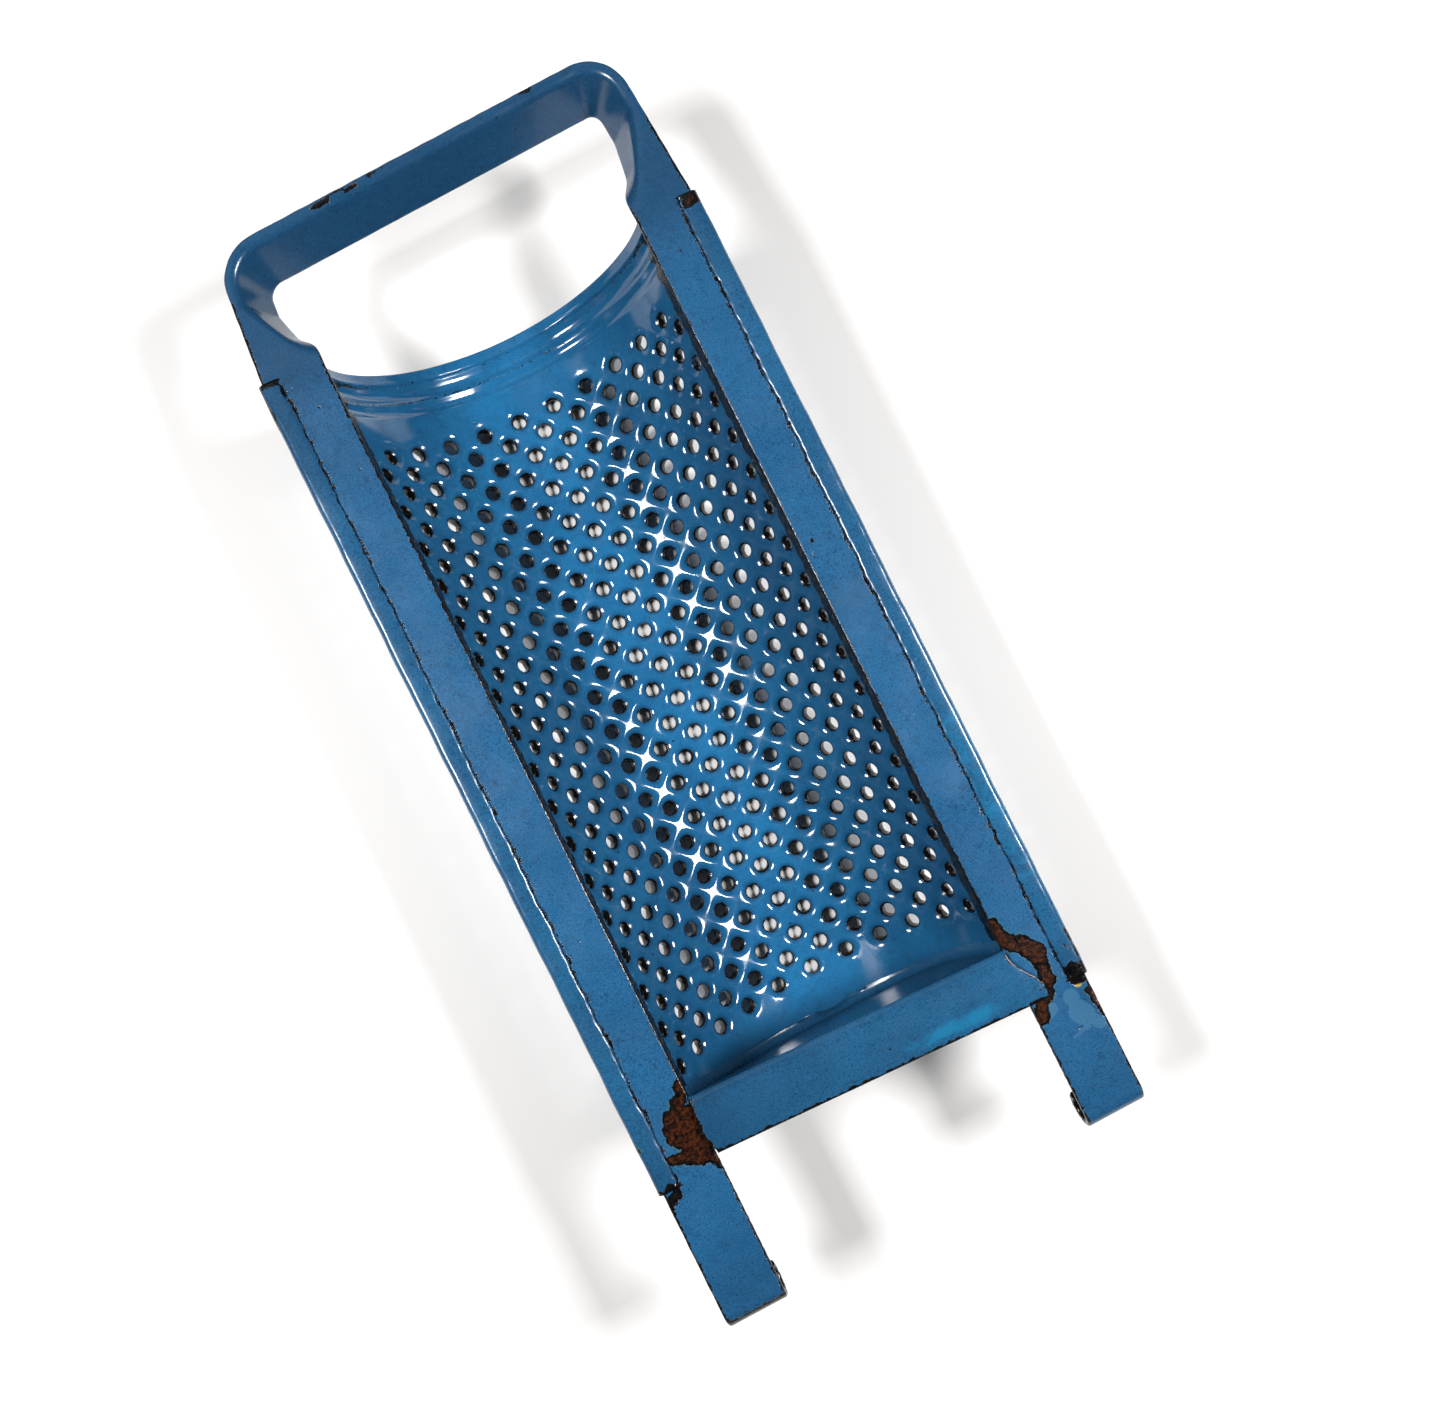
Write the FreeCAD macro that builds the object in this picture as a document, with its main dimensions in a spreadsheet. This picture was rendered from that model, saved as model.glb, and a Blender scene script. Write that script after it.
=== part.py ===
import FreeCAD, Part
import math
import os
import Sketcher
from FreeCAD import Placement, Rotation, Vector

# A hand grater: one flat steel strip bent into handle, rails and feet, and one
# perforated sheet arched between the rails, closed at the foot end by a plate.
# Millimetres.  X across, Y from the feet towards the handle, Z up.  The arch
# hangs below the rails, and its teeth rest on Z = 0 under the part's middle.

DIMENSIONS = [
    ("strip_width", 16.4, "width of the frame strip"),
    ("strip_thick", 1.8, "thickness of the frame strip, enamel included"),
    ("rail_gap", 86.4, "clear width between the two rails"),
    ("rail_top", 109.0, "Y where rails end and the handle starts"),
    ("foot_reach", 150.2, "distance of the foot ends from the origin"),
    ("foot_mismatch", 0.8, "left foot longer, right foot shorter by this"),
    ("curl_radius", 4.6, "outer radius of the rolled foot end"),
    ("curl_angle", 255.0, "how far the foot end is rolled, degrees"),
    ("sheet_thick", 0.9, "thickness of the sheet, enamel included"),
    ("arch_radius", 45.3, "radius of the arch on its hollow side"),
    ("crown_depth", 38.8, "rail front down to the hollow side of the crown"),
    ("lip_width", 3.4, "width of the folded lip at the open end"),
    ("first_bead_centre", 5.9, "open end to the middle of the first bead"),
    ("first_bead_width", 4.8, "width of the first bead"),
    ("first_bead_depth", 0.9, "depth of the first bead"),
    ("second_bead_centre", 10.7, "open end to the middle of the second bead"),
    ("second_bead_width", 3.6, "width of the second bead"),
    ("second_bead_depth", 0.6, "depth of the second bead"),
    ("tooth_rows", 34, "rows of teeth along the arch"),
    ("tooth_columns", 21, "staggered columns of teeth across the arch"),
    ("first_row", 86.6, "Y of the row nearest the handle"),
    ("row_pitch", 5.307, "spacing of the rows"),
    ("column_angle", 6.75, "spacing of the columns round the arch, degrees"),
    ("row_skew", 0.124, "rise of a row towards the handle per column"),
    ("tooth_bore", 3.8, "diameter of a punched hole"),
    ("dimple_width", 6.4, "mouth of the dimple round a hole, hollow side"),
    ("burr_width", 6.6, "foot of the raised burr round a hole"),
    ("burr_height", 2.6, "height of the burr above the sheet"),
    ("crown_wear", 0.4, "extra height of the crown's burrs, worn off level with the floor"),
    ("hem_flap", 5.7, "width of the hem folded over the rail front"),
    ("hem_end", 113.0, "distance of the hem's foot end from the origin"),
    ("plate_top", 97.4, "distance of the end plate's ridge from the origin"),
    ("plate_lean", 9.5, "lean of the end plate away from the arch, degrees"),
    ("band_width", 15.4, "width of the cross band on the end plate"),
    ("band_overlap", 4.6, "how far the band laps over each rail"),
    ("bend_radius", 1.4, "outer radius of hem and band bends"),
    ("handle_reach", 148.9, "distance of the grip bar's outer edge"),
    ("handle_taper", 4.8, "inward lean of the handle arms, degrees"),
    ("handle_corner", 12.0, "corner radius of the grip"),
    ("handle_skew", 3.6, "slope of the grip bar, degrees"),
    ("grip_ledge", 2.7, "part of the grip strip that stays level"),
    ("grip_fold", 66.5, "downward fold of the rest of the grip, degrees"),
    ("fold_softness", 3.5, "width over which the fold turns"),
    ("fold_start", 8.0, "length over which the fold reaches its full slope"),
    ("fold_run", 24.0, "length over which the fold spreads over the strip"),
]

RAIL_FRONT = "(dims.crown_depth + dims.sheet_thick + dims.burr_height)"
RAIL_BACK = "(" + RAIL_FRONT + " - dims.strip_thick)"
ARCH_AXIS = "(" + RAIL_FRONT + " - dims.crown_depth + dims.arch_radius)"
OUTER_RADIUS = "(dims.arch_radius + dims.sheet_thick)"
STRIP_OUTER = "(dims.rail_gap / 2 + dims.strip_width)"
HEM_OUTER = "(" + STRIP_OUTER + " + dims.sheet_thick)"
FLANGE_INNER = "(dims.arch_radius + 0.2)"

ALONG_Y = Rotation(Vector(1, 0, 0), -90)
CURL_TURN = Rotation(Vector(0, 0, 1), Vector(0, -1, 0), Vector(1, 0, 0))
SECTION_POINTS = 13
SIDE_STATIONS = 16
CORNER_STATIONS = 9
BAR_STATIONS = 7


def make_sheet(doc):
    """Spreadsheet of the driving dimensions, one alias per row."""
    sheet = doc.addObject("Spreadsheet::Sheet", "dims")
    for row, (alias, value, meaning) in enumerate(DIMENSIONS, start=1):
        sheet.set("A%d" % row, meaning)
        sheet.set("B%d" % row, str(value))
        sheet.setAlias("B%d" % row, alias)
    doc.recompute()
    return sheet


def bind(obj, names, expressions):
    for name, expression in zip(names, expressions):
        obj.setExpression(name, expression)


def place(obj, corner):
    bind(obj, ("Placement.Base.x", "Placement.Base.y", "Placement.Base.z"), corner)


def box(doc, name, size, corner):
    piece = doc.addObject("Part::Box", name)
    bind(piece, ("Length", "Width", "Height"), size)
    place(piece, corner)
    return piece


def cylinder(doc, name, radius, height, base, turn):
    piece = doc.addObject("Part::Cylinder", name)
    piece.Placement = Placement(Vector(), turn)
    bind(piece, ("Radius", "Height"), (radius, height))
    place(piece, base)
    return piece


def torus(doc, name, ring_radius, tube_radius, centre):
    piece = doc.addObject("Part::Torus", name)
    piece.Placement = Placement(Vector(), ALONG_Y)
    bind(piece, ("Radius1", "Radius2"), (ring_radius, tube_radius))
    place(piece, centre)
    return piece


def cut(doc, name, base, tool):
    piece = doc.addObject("Part::Cut", name)
    piece.Base = base
    piece.Tool = tool
    return piece


def common(doc, name, base, tool):
    piece = doc.addObject("Part::Common", name)
    piece.Base = base
    piece.Tool = tool
    return piece


def fuse(doc, name, pieces):
    piece = doc.addObject("Part::MultiFuse", name)
    piece.Shapes = pieces
    return piece


def profile_body(doc, name, plane_role, corners, length, midplane):
    """Body padded from a closed outline whose corners are bound to the sheet."""
    body = doc.addObject("PartDesign::Body", name)
    plane = next(f for f in body.Origin.OriginFeatures if f.Role == plane_role)
    sketch = body.newObject("Sketcher::SketchObject", name + "_outline")
    sketch.AttachmentSupport = [(plane, "")]
    sketch.MapMode = "FlatFace"
    count = len(corners)
    ring = [Vector(math.cos(a), math.sin(a), 0)
            for a in (2 * math.pi * i / count for i in range(count))]
    for i in range(count):
        sketch.addGeometry(Part.LineSegment(ring[i], ring[(i + 1) % count]), False)
    for i in range(count):
        sketch.addConstraint(Sketcher.Constraint("Coincident", i, 2, (i + 1) % count, 1))
    for i, corner in enumerate(corners):
        for kind, axis, expression in zip(("DistanceX", "DistanceY"), "xy", corner):
            label = "corner%d%s" % (i, axis)
            index = sketch.addConstraint(Sketcher.Constraint(kind, -1, 1, i, 1, 1.0))
            sketch.renameConstraint(index, label)
            sketch.setExpression("Constraints." + label, expression)
    pad = body.newObject("PartDesign::Pad", name + "_pad")
    pad.Profile = sketch
    pad.SideType = "Symmetric" if midplane else "One side"
    pad.setExpression("Length", length)
    body.Tip = pad
    doc.recompute()
    return body, pad


def soften(body, name, test, radius):
    """Fillet the body's full-length edges whose middle point passes the test."""
    tip = body.Tip
    longest = max(edge.Length for edge in tip.Shape.Edges)
    edges = []
    for index, edge in enumerate(tip.Shape.Edges, start=1):
        if test(edge.CenterOfMass) and edge.Length > 0.9 * longest:
            edges.append("Edge%d" % index)
    fillet = body.newObject("PartDesign::Fillet", name)
    fillet.Base = (tip, edges)
    fillet.setExpression("Radius", radius)
    body.Tip = fillet


def make_rail(doc, name, side, mismatch):
    """One rail with its foot: a flat bar whose end is rolled back."""
    inner = "dims.rail_gap / 2" if side > 0 else "-" + STRIP_OUTER
    foot = "(-dims.foot_reach %s dims.foot_mismatch + dims.curl_radius)" % mismatch
    bar = box(doc, name + "_bar",
              ("dims.strip_width", "dims.rail_top - " + foot, "dims.strip_thick"),
              (inner, foot, RAIL_BACK))
    centre = (inner, foot, RAIL_FRONT + " - dims.curl_radius")
    roll = cylinder(doc, name + "_roll", "dims.curl_radius", "dims.strip_width",
                    centre, CURL_TURN)
    roll.setExpression("Angle", "dims.curl_angle")
    eye = cylinder(doc, name + "_eye", "dims.curl_radius - dims.strip_thick",
                   "dims.strip_width", centre, CURL_TURN)
    curl = cut(doc, name + "_curl", roll, eye)
    return fuse(doc, name, [bar, curl])


def make_hem(doc, name, side):
    """Edge of the sheet: flat behind the rail, round its edge, over its front."""
    sign = "" if side > 0 else "-"
    inner, outer = sign + FLANGE_INNER, sign + HEM_OUTER
    strip = sign + STRIP_OUTER
    flap = sign + "(" + HEM_OUTER + " - dims.hem_flap)"
    low, high = RAIL_BACK + " - dims.sheet_thick", RAIL_FRONT + " + dims.sheet_thick"
    corners = [(inner, low), (outer, low), (outer, high), (flap, high),
               (flap, RAIL_FRONT), (strip, RAIL_FRONT), (strip, RAIL_BACK), (inner, RAIL_BACK)]
    if side < 0:
        corners.reverse()
    body, pad = profile_body(doc, name, "XZ_Plane", corners, "dims.rail_top + dims.hem_end", False)
    sketch = pad.Profile[0]
    sketch.setExpression("AttachmentOffset.Base.z", "-dims.rail_top")
    doc.recompute()
    edge_x = max(abs(v.X) for v in pad.Shape.Vertexes)
    soften(body, name + "_bend", lambda p: abs(abs(p.x) - edge_x) < 0.01, "dims.bend_radius")
    return body


def bead_pair(doc, name, order):
    """Inner and outer torus of one pressed bead in the open end of the arch."""
    half, depth = "dims.%s_bead_width / 2" % order, "dims.%s_bead_depth" % order
    tube = "((%s) ^ 2 + %s ^ 2) / (2 * %s)" % (half, depth, depth)
    ring = "dims.arch_radius + %s - %s" % (depth, tube)
    centre = ("0", "dims.rail_top - dims.%s_bead_centre" % order, ARCH_AXIS)
    inner = torus(doc, name + "_inner", ring, tube, centre)
    outer = torus(doc, name + "_outer", ring, tube + " + dims.sheet_thick", centre)
    return inner, outer


def tooth_places(sheet, axis_height):
    """Centre on the arch axis and outward direction of every tooth."""
    half = (int(sheet.tooth_columns) - 1) // 2
    for row in range(int(sheet.tooth_rows)):
        for column in range(-half, half + 1):
            if (row + column) % 2 == half % 2:
                continue
            turn = math.radians(column * sheet.column_angle)
            y = sheet.first_row - row * sheet.row_pitch + column * sheet.row_skew
            yield Vector(0, y, axis_height), Vector(math.sin(turn), 0, -math.cos(turn))


def make_teeth(doc, sheet, axis_height):
    """Raised burrs to add to the sheet, and the punches that open them."""
    radius, thick = sheet.arch_radius, sheet.sheet_thick
    bore, tip = sheet.tooth_bore / 2, sheet.tooth_bore / 2 + sheet.sheet_thick / 2
    reach = thick + sheet.burr_height
    crown = math.cos(math.radians(1.5 * sheet.column_angle))
    mouth = sheet.dimple_width / 2
    outline = Part.makePolygon([
        Vector(0, 0, -thick), Vector(mouth, 0, -thick), Vector(mouth, 0, 0), Vector(bore, 0, thick),
        Vector(bore, 0, 2 * reach), Vector(0, 0, 2 * reach), Vector(0, 0, -thick)])
    punch = Part.Face(outline).revolve(Vector(), Vector(0, 0, 1), 360)
    burrs = []
    punches = []
    for centre, out in tooth_places(sheet, axis_height):
        length = reach - thick / 2 + (sheet.crown_wear if -out.z > crown else 0)
        burrs.append(Part.makeCone(sheet.burr_width / 2, tip, length,
                                   centre + out * (radius + thick / 2), out))
        tool = punch.copy()
        tool.Placement = Placement(centre + out * radius, Rotation(Vector(0, 0, 1), out))
        punches.append(tool)
    raised = doc.addObject("Part::Feature", "burr_blanks")
    raised.Shape = Part.makeCompound(burrs)
    opening = doc.addObject("Part::Feature", "punches")
    opening.Shape = Part.makeCompound(punches)
    return raised, opening


def make_grating_sheet(doc, sheet, axis_height):
    """Arched sheet: beaded open end, rows of punched teeth, leaning foot end."""
    start, length = "-dims.hem_end", "dims.rail_top + dims.hem_end"
    inner_beads = []
    outer_beads = []
    for order in ("first", "second"):
        inner, outer = bead_pair(doc, order + "_bead", order)
        inner_beads.append(inner)
        outer_beads.append(outer)
    base = ("0", start, ARCH_AXIS)
    outside = cylinder(doc, "arch_outside", OUTER_RADIUS, length, base, ALONG_Y)
    inside = cylinder(doc, "arch_inside", "dims.arch_radius", length, base, ALONG_Y)
    lip_base = ("0", "dims.rail_top - dims.lip_width", ARCH_AXIS)
    lip_out = cylinder(doc, "lip_outside", "dims.arch_radius", "dims.lip_width", lip_base, ALONG_Y)
    lip_in = cylinder(doc, "lip_inside", "dims.arch_radius - dims.sheet_thick / 2",
                      "dims.lip_width", lip_base, ALONG_Y)
    shell = cut(doc, "arch_shell", fuse(doc, "arch_full", [outside] + outer_beads),
                fuse(doc, "arch_hollow", [inside] + inner_beads))
    ring = fuse(doc, "arch_ring", [shell, cut(doc, "lip_ring", lip_out, lip_in)])
    foot = "(-dims.plate_top - dims.sheet_thick)"
    drop = "((" + RAIL_FRONT + " + dims.strip_width) * tan(dims.plate_lean))"
    keep = profile_body(doc, "below_rails", "YZ_Plane", [
        (foot, RAIL_BACK), ("dims.rail_top", RAIL_BACK), ("dims.rail_top", "-dims.strip_width"),
        (foot + " - " + drop, "-dims.strip_width"),
    ], "3 * " + OUTER_RADIUS, True)[0]
    blank = common(doc, "arch_blank", ring, keep)
    raised, opening = make_teeth(doc, sheet, axis_height)
    punched = cut(doc, "punched_arch", fuse(doc, "arch_with_burrs", [blank, raised]), opening)
    floor = box(doc, "floor_level", ("2 * " + OUTER_RADIUS, "2 * dims.rail_top", "dims.strip_width"),
                ("-" + OUTER_RADIUS, "-dims.rail_top", "-dims.strip_width"))
    return cut(doc, "grating_sheet", punched, floor)


def make_end_plate(doc):
    """Plate that closes the arch and turns over into the cross band."""
    thick = "dims.sheet_thick"
    depth = "(dims.crown_depth + dims.sheet_thick)"
    run = "(%s * tan(dims.plate_lean))" % depth
    top = "(" + RAIL_FRONT + " + dims.sheet_thick)"
    low = RAIL_FRONT + " - dims.crown_depth"
    corners = [("-dims.plate_top", top), ("-dims.plate_top - dims.band_width", top),
               ("-dims.plate_top - dims.band_width", RAIL_FRONT),
               ("-dims.plate_top - " + thick, RAIL_FRONT),
               ("-dims.plate_top - " + run + " - " + thick, low),
               ("-dims.plate_top - " + run, low)]
    body, pad = profile_body(doc, "end_profile", "YZ_Plane", corners, "2 * " + STRIP_OUTER, True)
    ridge = max(v.Z for v in pad.Shape.Vertexes)
    front = max(v.Y for v in pad.Shape.Vertexes)
    soften(body, "end_ridge", lambda p: p.z > ridge - 0.01 and p.y > front - 0.01,
           "dims.bend_radius")
    reach = "dims.plate_top + dims.band_width + dims.strip_width"
    in_arch = cylinder(doc, "plate_round", "dims.arch_radius", reach,
                       ("0", "-2 * dims.plate_top", ARCH_AXIS), ALONG_Y)
    below = box(doc, "plate_below", ("2 * " + OUTER_RADIUS, reach, RAIL_BACK),
                ("-" + OUTER_RADIUS, "-2 * dims.plate_top", "0"))
    between = box(doc, "plate_between", ("dims.rail_gap", reach, "dims.strip_thick"),
                  ("-dims.rail_gap / 2", "-2 * dims.plate_top", RAIL_BACK))
    over = box(doc, "plate_over",
               ("dims.rail_gap + 2 * dims.band_overlap", reach, thick),
               ("-dims.rail_gap / 2 - dims.band_overlap", "-2 * dims.plate_top", RAIL_FRONT))
    outline = fuse(doc, "plate_outline",
                   [common(doc, "plate_segment", in_arch, below), between, over])
    return common(doc, "end_plate", body, outline)


def smooth(value):
    value = min(1.0, max(0.0, value))
    return value * value * (3 - 2 * value)


def grip_path(sheet):
    """Stations along the handle's outer edge: place, inward direction, run."""
    taper = math.radians(sheet.handle_taper)
    half = sheet.rail_gap / 2 + sheet.strip_width
    rise = sheet.handle_reach - sheet.rail_top
    corner_x = half - rise * math.tan(taper)
    turn = math.pi / 2 - taper
    tangent = sheet.handle_corner * math.tan(turn / 2)
    side = rise / math.cos(taper) - tangent
    bar = corner_x - tangent
    centre = (bar, sheet.handle_reach - sheet.handle_corner)
    stations = []
    for i in range(SIDE_STATIONS):
        run = side * i / SIDE_STATIONS
        stations.append((half - run * math.sin(taper), sheet.rail_top + run * math.cos(taper),
                         taper * smooth(run / sheet.fold_run), run))
    for i in range(CORNER_STATIONS):
        angle = taper + turn * i / CORNER_STATIONS
        stations.append((centre[0] + sheet.handle_corner * math.cos(angle),
                         centre[1] + sheet.handle_corner * math.sin(angle), angle,
                         side + sheet.handle_corner * (angle - taper)))
    for i in range(BAR_STATIONS):
        stations.append((bar * (1 - i / BAR_STATIONS), sheet.handle_reach, math.pi / 2,
                         sheet.fold_run * 2))
    mirrored = [(-x, y, math.pi - angle, run) for x, y, angle, run in reversed(stations)]
    return stations + [(0.0, sheet.handle_reach, math.pi / 2, sheet.fold_run * 2)] + mirrored


def grip_section(sheet, front, x, y, angle, run):
    """Closed cross-section: a level ledge, then a fold that goes down."""
    spread = min(1.0, run / sheet.fold_run) ** 0.7
    ledge = sheet.strip_width + (sheet.grip_ledge - sheet.strip_width) * spread
    fold = math.radians(sheet.grip_fold) * smooth(run / sheet.fold_start)
    skew = math.tan(math.radians(sheet.handle_skew))
    y += x * skew * smooth((y - sheet.rail_top) / (sheet.handle_reach - sheet.rail_top))
    inward = Vector(-math.cos(angle), -math.sin(angle), 0)
    point = Vector(x, y, front)
    step = sheet.strip_width / (SECTION_POINTS - 1)
    upper = []
    lower = []
    for i in range(SECTION_POINTS):
        dip = fold * smooth((i * step - ledge) / sheet.fold_softness + 0.5)
        normal = inward * math.sin(dip) + Vector(0, 0, math.cos(dip))
        upper.append(point)
        lower.append(point - normal * sheet.strip_thick)
        point = point + (inward * math.cos(dip) - Vector(0, 0, math.sin(dip))) * step
    top = Part.BSplineCurve()
    top.interpolate(upper)
    bottom = Part.BSplineCurve()
    bottom.interpolate(lower[::-1])
    return Part.Wire([top.toShape(), Part.makeLine(upper[-1], lower[-1]), bottom.toShape(),
                      Part.makeLine(lower[0], upper[0])])


def make_handle(doc, sheet, front):
    """Grip: the strip carried round from rail to rail, its inner part folded down."""
    sections = [grip_section(sheet, front, *station) for station in grip_path(sheet)]
    handle = doc.addObject("Part::Feature", "handle")
    handle.Shape = Part.makeLoft(sections, True, False)
    return handle


def build():
    doc = FreeCAD.newDocument("grater")
    sheet = make_sheet(doc)
    front = sheet.crown_depth + sheet.sheet_thick + sheet.burr_height
    nodes = [
        make_handle(doc, sheet, front),
        make_rail(doc, "left_rail", -1, "-"),
        make_rail(doc, "right_rail", 1, "+"),
        make_hem(doc, "left_hem", -1),
        make_hem(doc, "right_hem", 1),
        make_end_plate(doc),
        make_grating_sheet(doc, sheet, front - sheet.crown_depth + sheet.arch_radius),
    ]
    doc.recompute()
    return doc, nodes


def write_parts(doc, nodes):
    for obj in doc.Objects:
        if "Invalid" in obj.State or "Error" in obj.State:
            raise RuntimeError("%s did not build: %s" % (obj.Name, obj.State))
    os.makedirs("parts", exist_ok=True)
    for node in nodes:
        node.Label = node.Name
        shape = node.Shape
        if shape.isNull() or not shape.isValid() or not shape.Solids:
            raise RuntimeError("%s has no valid solid" % node.Label)
        shape.exportStep(os.path.join("parts", node.Label + ".step"))
        print(node.Label, len(shape.Solids), round(shape.Volume), shape.BoundBox)


document, parts = build()
write_parts(document, parts)
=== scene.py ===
import math

import bpy
import numpy as np
from mathutils import Matrix, Vector


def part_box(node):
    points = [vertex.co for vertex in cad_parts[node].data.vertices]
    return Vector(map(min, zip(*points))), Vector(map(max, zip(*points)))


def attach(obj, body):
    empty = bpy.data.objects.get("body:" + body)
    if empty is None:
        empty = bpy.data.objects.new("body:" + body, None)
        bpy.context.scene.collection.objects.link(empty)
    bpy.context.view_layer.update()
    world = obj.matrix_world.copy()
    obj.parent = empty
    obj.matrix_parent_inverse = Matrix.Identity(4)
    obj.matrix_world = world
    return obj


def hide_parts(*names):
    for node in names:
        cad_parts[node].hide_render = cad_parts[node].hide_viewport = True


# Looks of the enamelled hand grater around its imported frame.  Lengths are in
# millimetres in the frame's axes, and make_piece turns them into metres.

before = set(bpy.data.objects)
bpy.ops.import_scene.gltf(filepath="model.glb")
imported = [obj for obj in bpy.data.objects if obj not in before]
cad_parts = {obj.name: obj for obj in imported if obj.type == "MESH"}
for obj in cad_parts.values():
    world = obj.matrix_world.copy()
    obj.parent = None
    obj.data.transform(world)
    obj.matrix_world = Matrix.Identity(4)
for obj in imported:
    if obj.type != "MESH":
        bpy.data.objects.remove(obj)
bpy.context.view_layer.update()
MM = 0.001


def cad_box(node):
    low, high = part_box(node)
    return np.array(low) / MM, np.array(high) / MM


RAIL_LOW, RAIL_HIGH = cad_box("right_rail")
LEFT_LOW = cad_box("left_rail")[0]
HEM_LOW, HEM_HIGH = cad_box("right_hem")

FRONT = RAIL_HIGH[2]
STRIP_OUTER = RAIL_HIGH[0]
RAIL_INNER = RAIL_LOW[0]
RAIL_TOP = RAIL_HIGH[1]
STRIP_WIDTH = STRIP_OUTER - RAIL_INNER
STRIP_THICK = 1.8
SHEET_THICK = 0.9
CROWN_DEPTH = 38.8
ARCH_RADIUS = 45.3
ARCH_AXIS = FRONT - CROWN_DEPTH + ARCH_RADIUS  # height of the arch's axis
CURL_RADIUS = 4.6
CURL_ANGLE = 255.0  # degrees through which each foot is rolled
HEM_END = -HEM_LOW[1]
FOOT_END = -RAIL_LOW[1] - 0.3

# the tooth lattice: columns round the arch (degrees), lines along it
COLUMN_ANGLE = 6.75
EDGE_COLUMN_ANGLE = 6.05
ROW_PITCH = 5.307
FIRST_ROW = 86.6
ROW_SKEW = 0.124
TOOTH_ROWS = 34
TOOTH_HALF = 10
LAST_COLUMN = 12
LAST_LINE = TOOTH_ROWS + 1
PARTS = 6
BORE = 1.9
TIP_DEPTH = SHEET_THICK + 2.6

# the dish round each tooth, and the pressed beads: (below the rail's top, half width, depth)
DIMPLE = 0.95
DIMPLE_REACH = 4.5
DIMPLE_POWER = 2.3
BEADS = ((5.9, 2.4, 0.9), (10.7, 1.8, 0.6))
LIP_WIDTH = 3.4
HEAD_LEVELS = list(np.arange(94.2, 104.9, 0.38)) + list(np.arange(105.0, 108.8, 0.24)) + [109.0]
INNER_RADII = (BORE, 2.0, 2.15, 2.38, 2.68, 3.0, 3.28, 3.48, 3.62)
OUTER_RADII = (2.35, 2.5, 2.75, 3.1, 3.5)

# the end plate's ridge is at Y = -PLATE_TOP on the centre line
PLATE_TOP = 96.7
BAND_SLANT = math.tan(math.radians(-2.6))
PLATE_LEAN = math.radians(9.5)
BAND_WIDTH = 15.4
FILLET = 3.2
HEM_FLAP = 5.7

HANDLE_REACH = 148.9
HANDLE_TAPER = math.radians(4.8)
HANDLE_CORNER = 12.0
HANDLE_SKEW = math.radians(3.6)
# the strip's inner part is folded down along the handle, behind a narrow ledge
GRIP_LEDGE = 2.7
GRIP_FOLD = math.radians(66.5)
FOLD_SOFTNESS = 3.5
FOLD_START = 13.0
FOLD_RUN = 24.0


def smooth(value):
    value = np.clip(value, 0.0, 1.0)
    return value * value * (3 - 2 * value)


def waves(position, lengths, seed):
    """Irregular waving in about -1..1: a sum of sines with seeded phases."""
    rng = np.random.default_rng(seed)
    total = np.zeros_like(np.asarray(position, float))
    for length in lengths:
        phase, stretch = rng.uniform(0, 2 * math.pi), rng.uniform(0.85, 1.15)
        total = total + np.sin(2 * math.pi * position / (length * stretch) + phase)
    return total / len(lengths)


def swell(x, y, lengths, seed):
    """Irregular waving over a surface, in about -1..1."""
    rng = np.random.default_rng(seed)
    total = 0.0
    for length in lengths:
        for _ in range(2):
            turn, phase = rng.uniform(0, 2 * math.pi, 2)
            total = total + np.sin(2 * math.pi * (x * math.cos(turn) + y * math.sin(turn))
                                   / length + phase)
    return total / (2 * len(lengths))


SPREAD = 4.0  # mm over which a mark's field goes from 0 to 1


def nearness(distance, width):
    """Field for a mark: 0.5 at the mark's edge, one SPREAD mm per unit."""
    return 0.5 + (width - distance) / SPREAD


def streak(points, x0, y0, x1, y1, width):
    """nearness to a straight stroke across X and Y."""
    start, run = np.array([x0, y0]), np.array([x1 - x0, y1 - y0])
    offset = points[:, :2] - start
    share = np.clip(offset @ run / max(float(run @ run), 1e-9), 0, 1)
    return nearness(np.linalg.norm(offset - share[:, None] * run, axis=1), width)


def strokes(points, where, *items):
    """Strongest of several streaks, kept to the points where the test holds."""
    field = np.zeros(len(points))
    for item in items:
        field = np.maximum(field, streak(points, *item))
    return np.where(where, field, 0.0)


def make_piece(name, points, faces, marks, material, slot, nodes):
    """Mesh object from points in mm, a list of face arrays and per-point marks."""
    mesh = bpy.data.meshes.new(name)
    mesh.vertices.add(len(points))
    mesh.vertices.foreach_set("co", (points * MM).astype(np.float32).ravel())
    loops = np.concatenate([f.ravel() for f in faces]).astype(np.int32)
    sizes = np.concatenate([np.full(len(f), f.shape[1]) for f in faces])
    starts = np.concatenate([[0], np.cumsum(sizes)[:-1]]).astype(np.int32)
    mesh.loops.add(len(loops))
    mesh.loops.foreach_set("vertex_index", loops)
    mesh.polygons.add(len(sizes))
    mesh.polygons.foreach_set("loop_start", starts)
    mesh.update(calc_edges=True)
    mesh.validate()
    mesh.polygons.foreach_set("use_smooth", np.ones(len(mesh.polygons), bool))
    for mark, values in marks.items():
        layer = mesh.attributes.new(mark, "FLOAT", "POINT")
        layer.data.foreach_set("value", np.clip(values, 0, 1).astype(np.float32))
    mesh.materials.append(material)
    piece = bpy.data.objects.new(name, mesh)
    bpy.context.scene.collection.objects.link(piece)
    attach(piece, "root")
    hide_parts(*nodes)
    return piece


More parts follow.
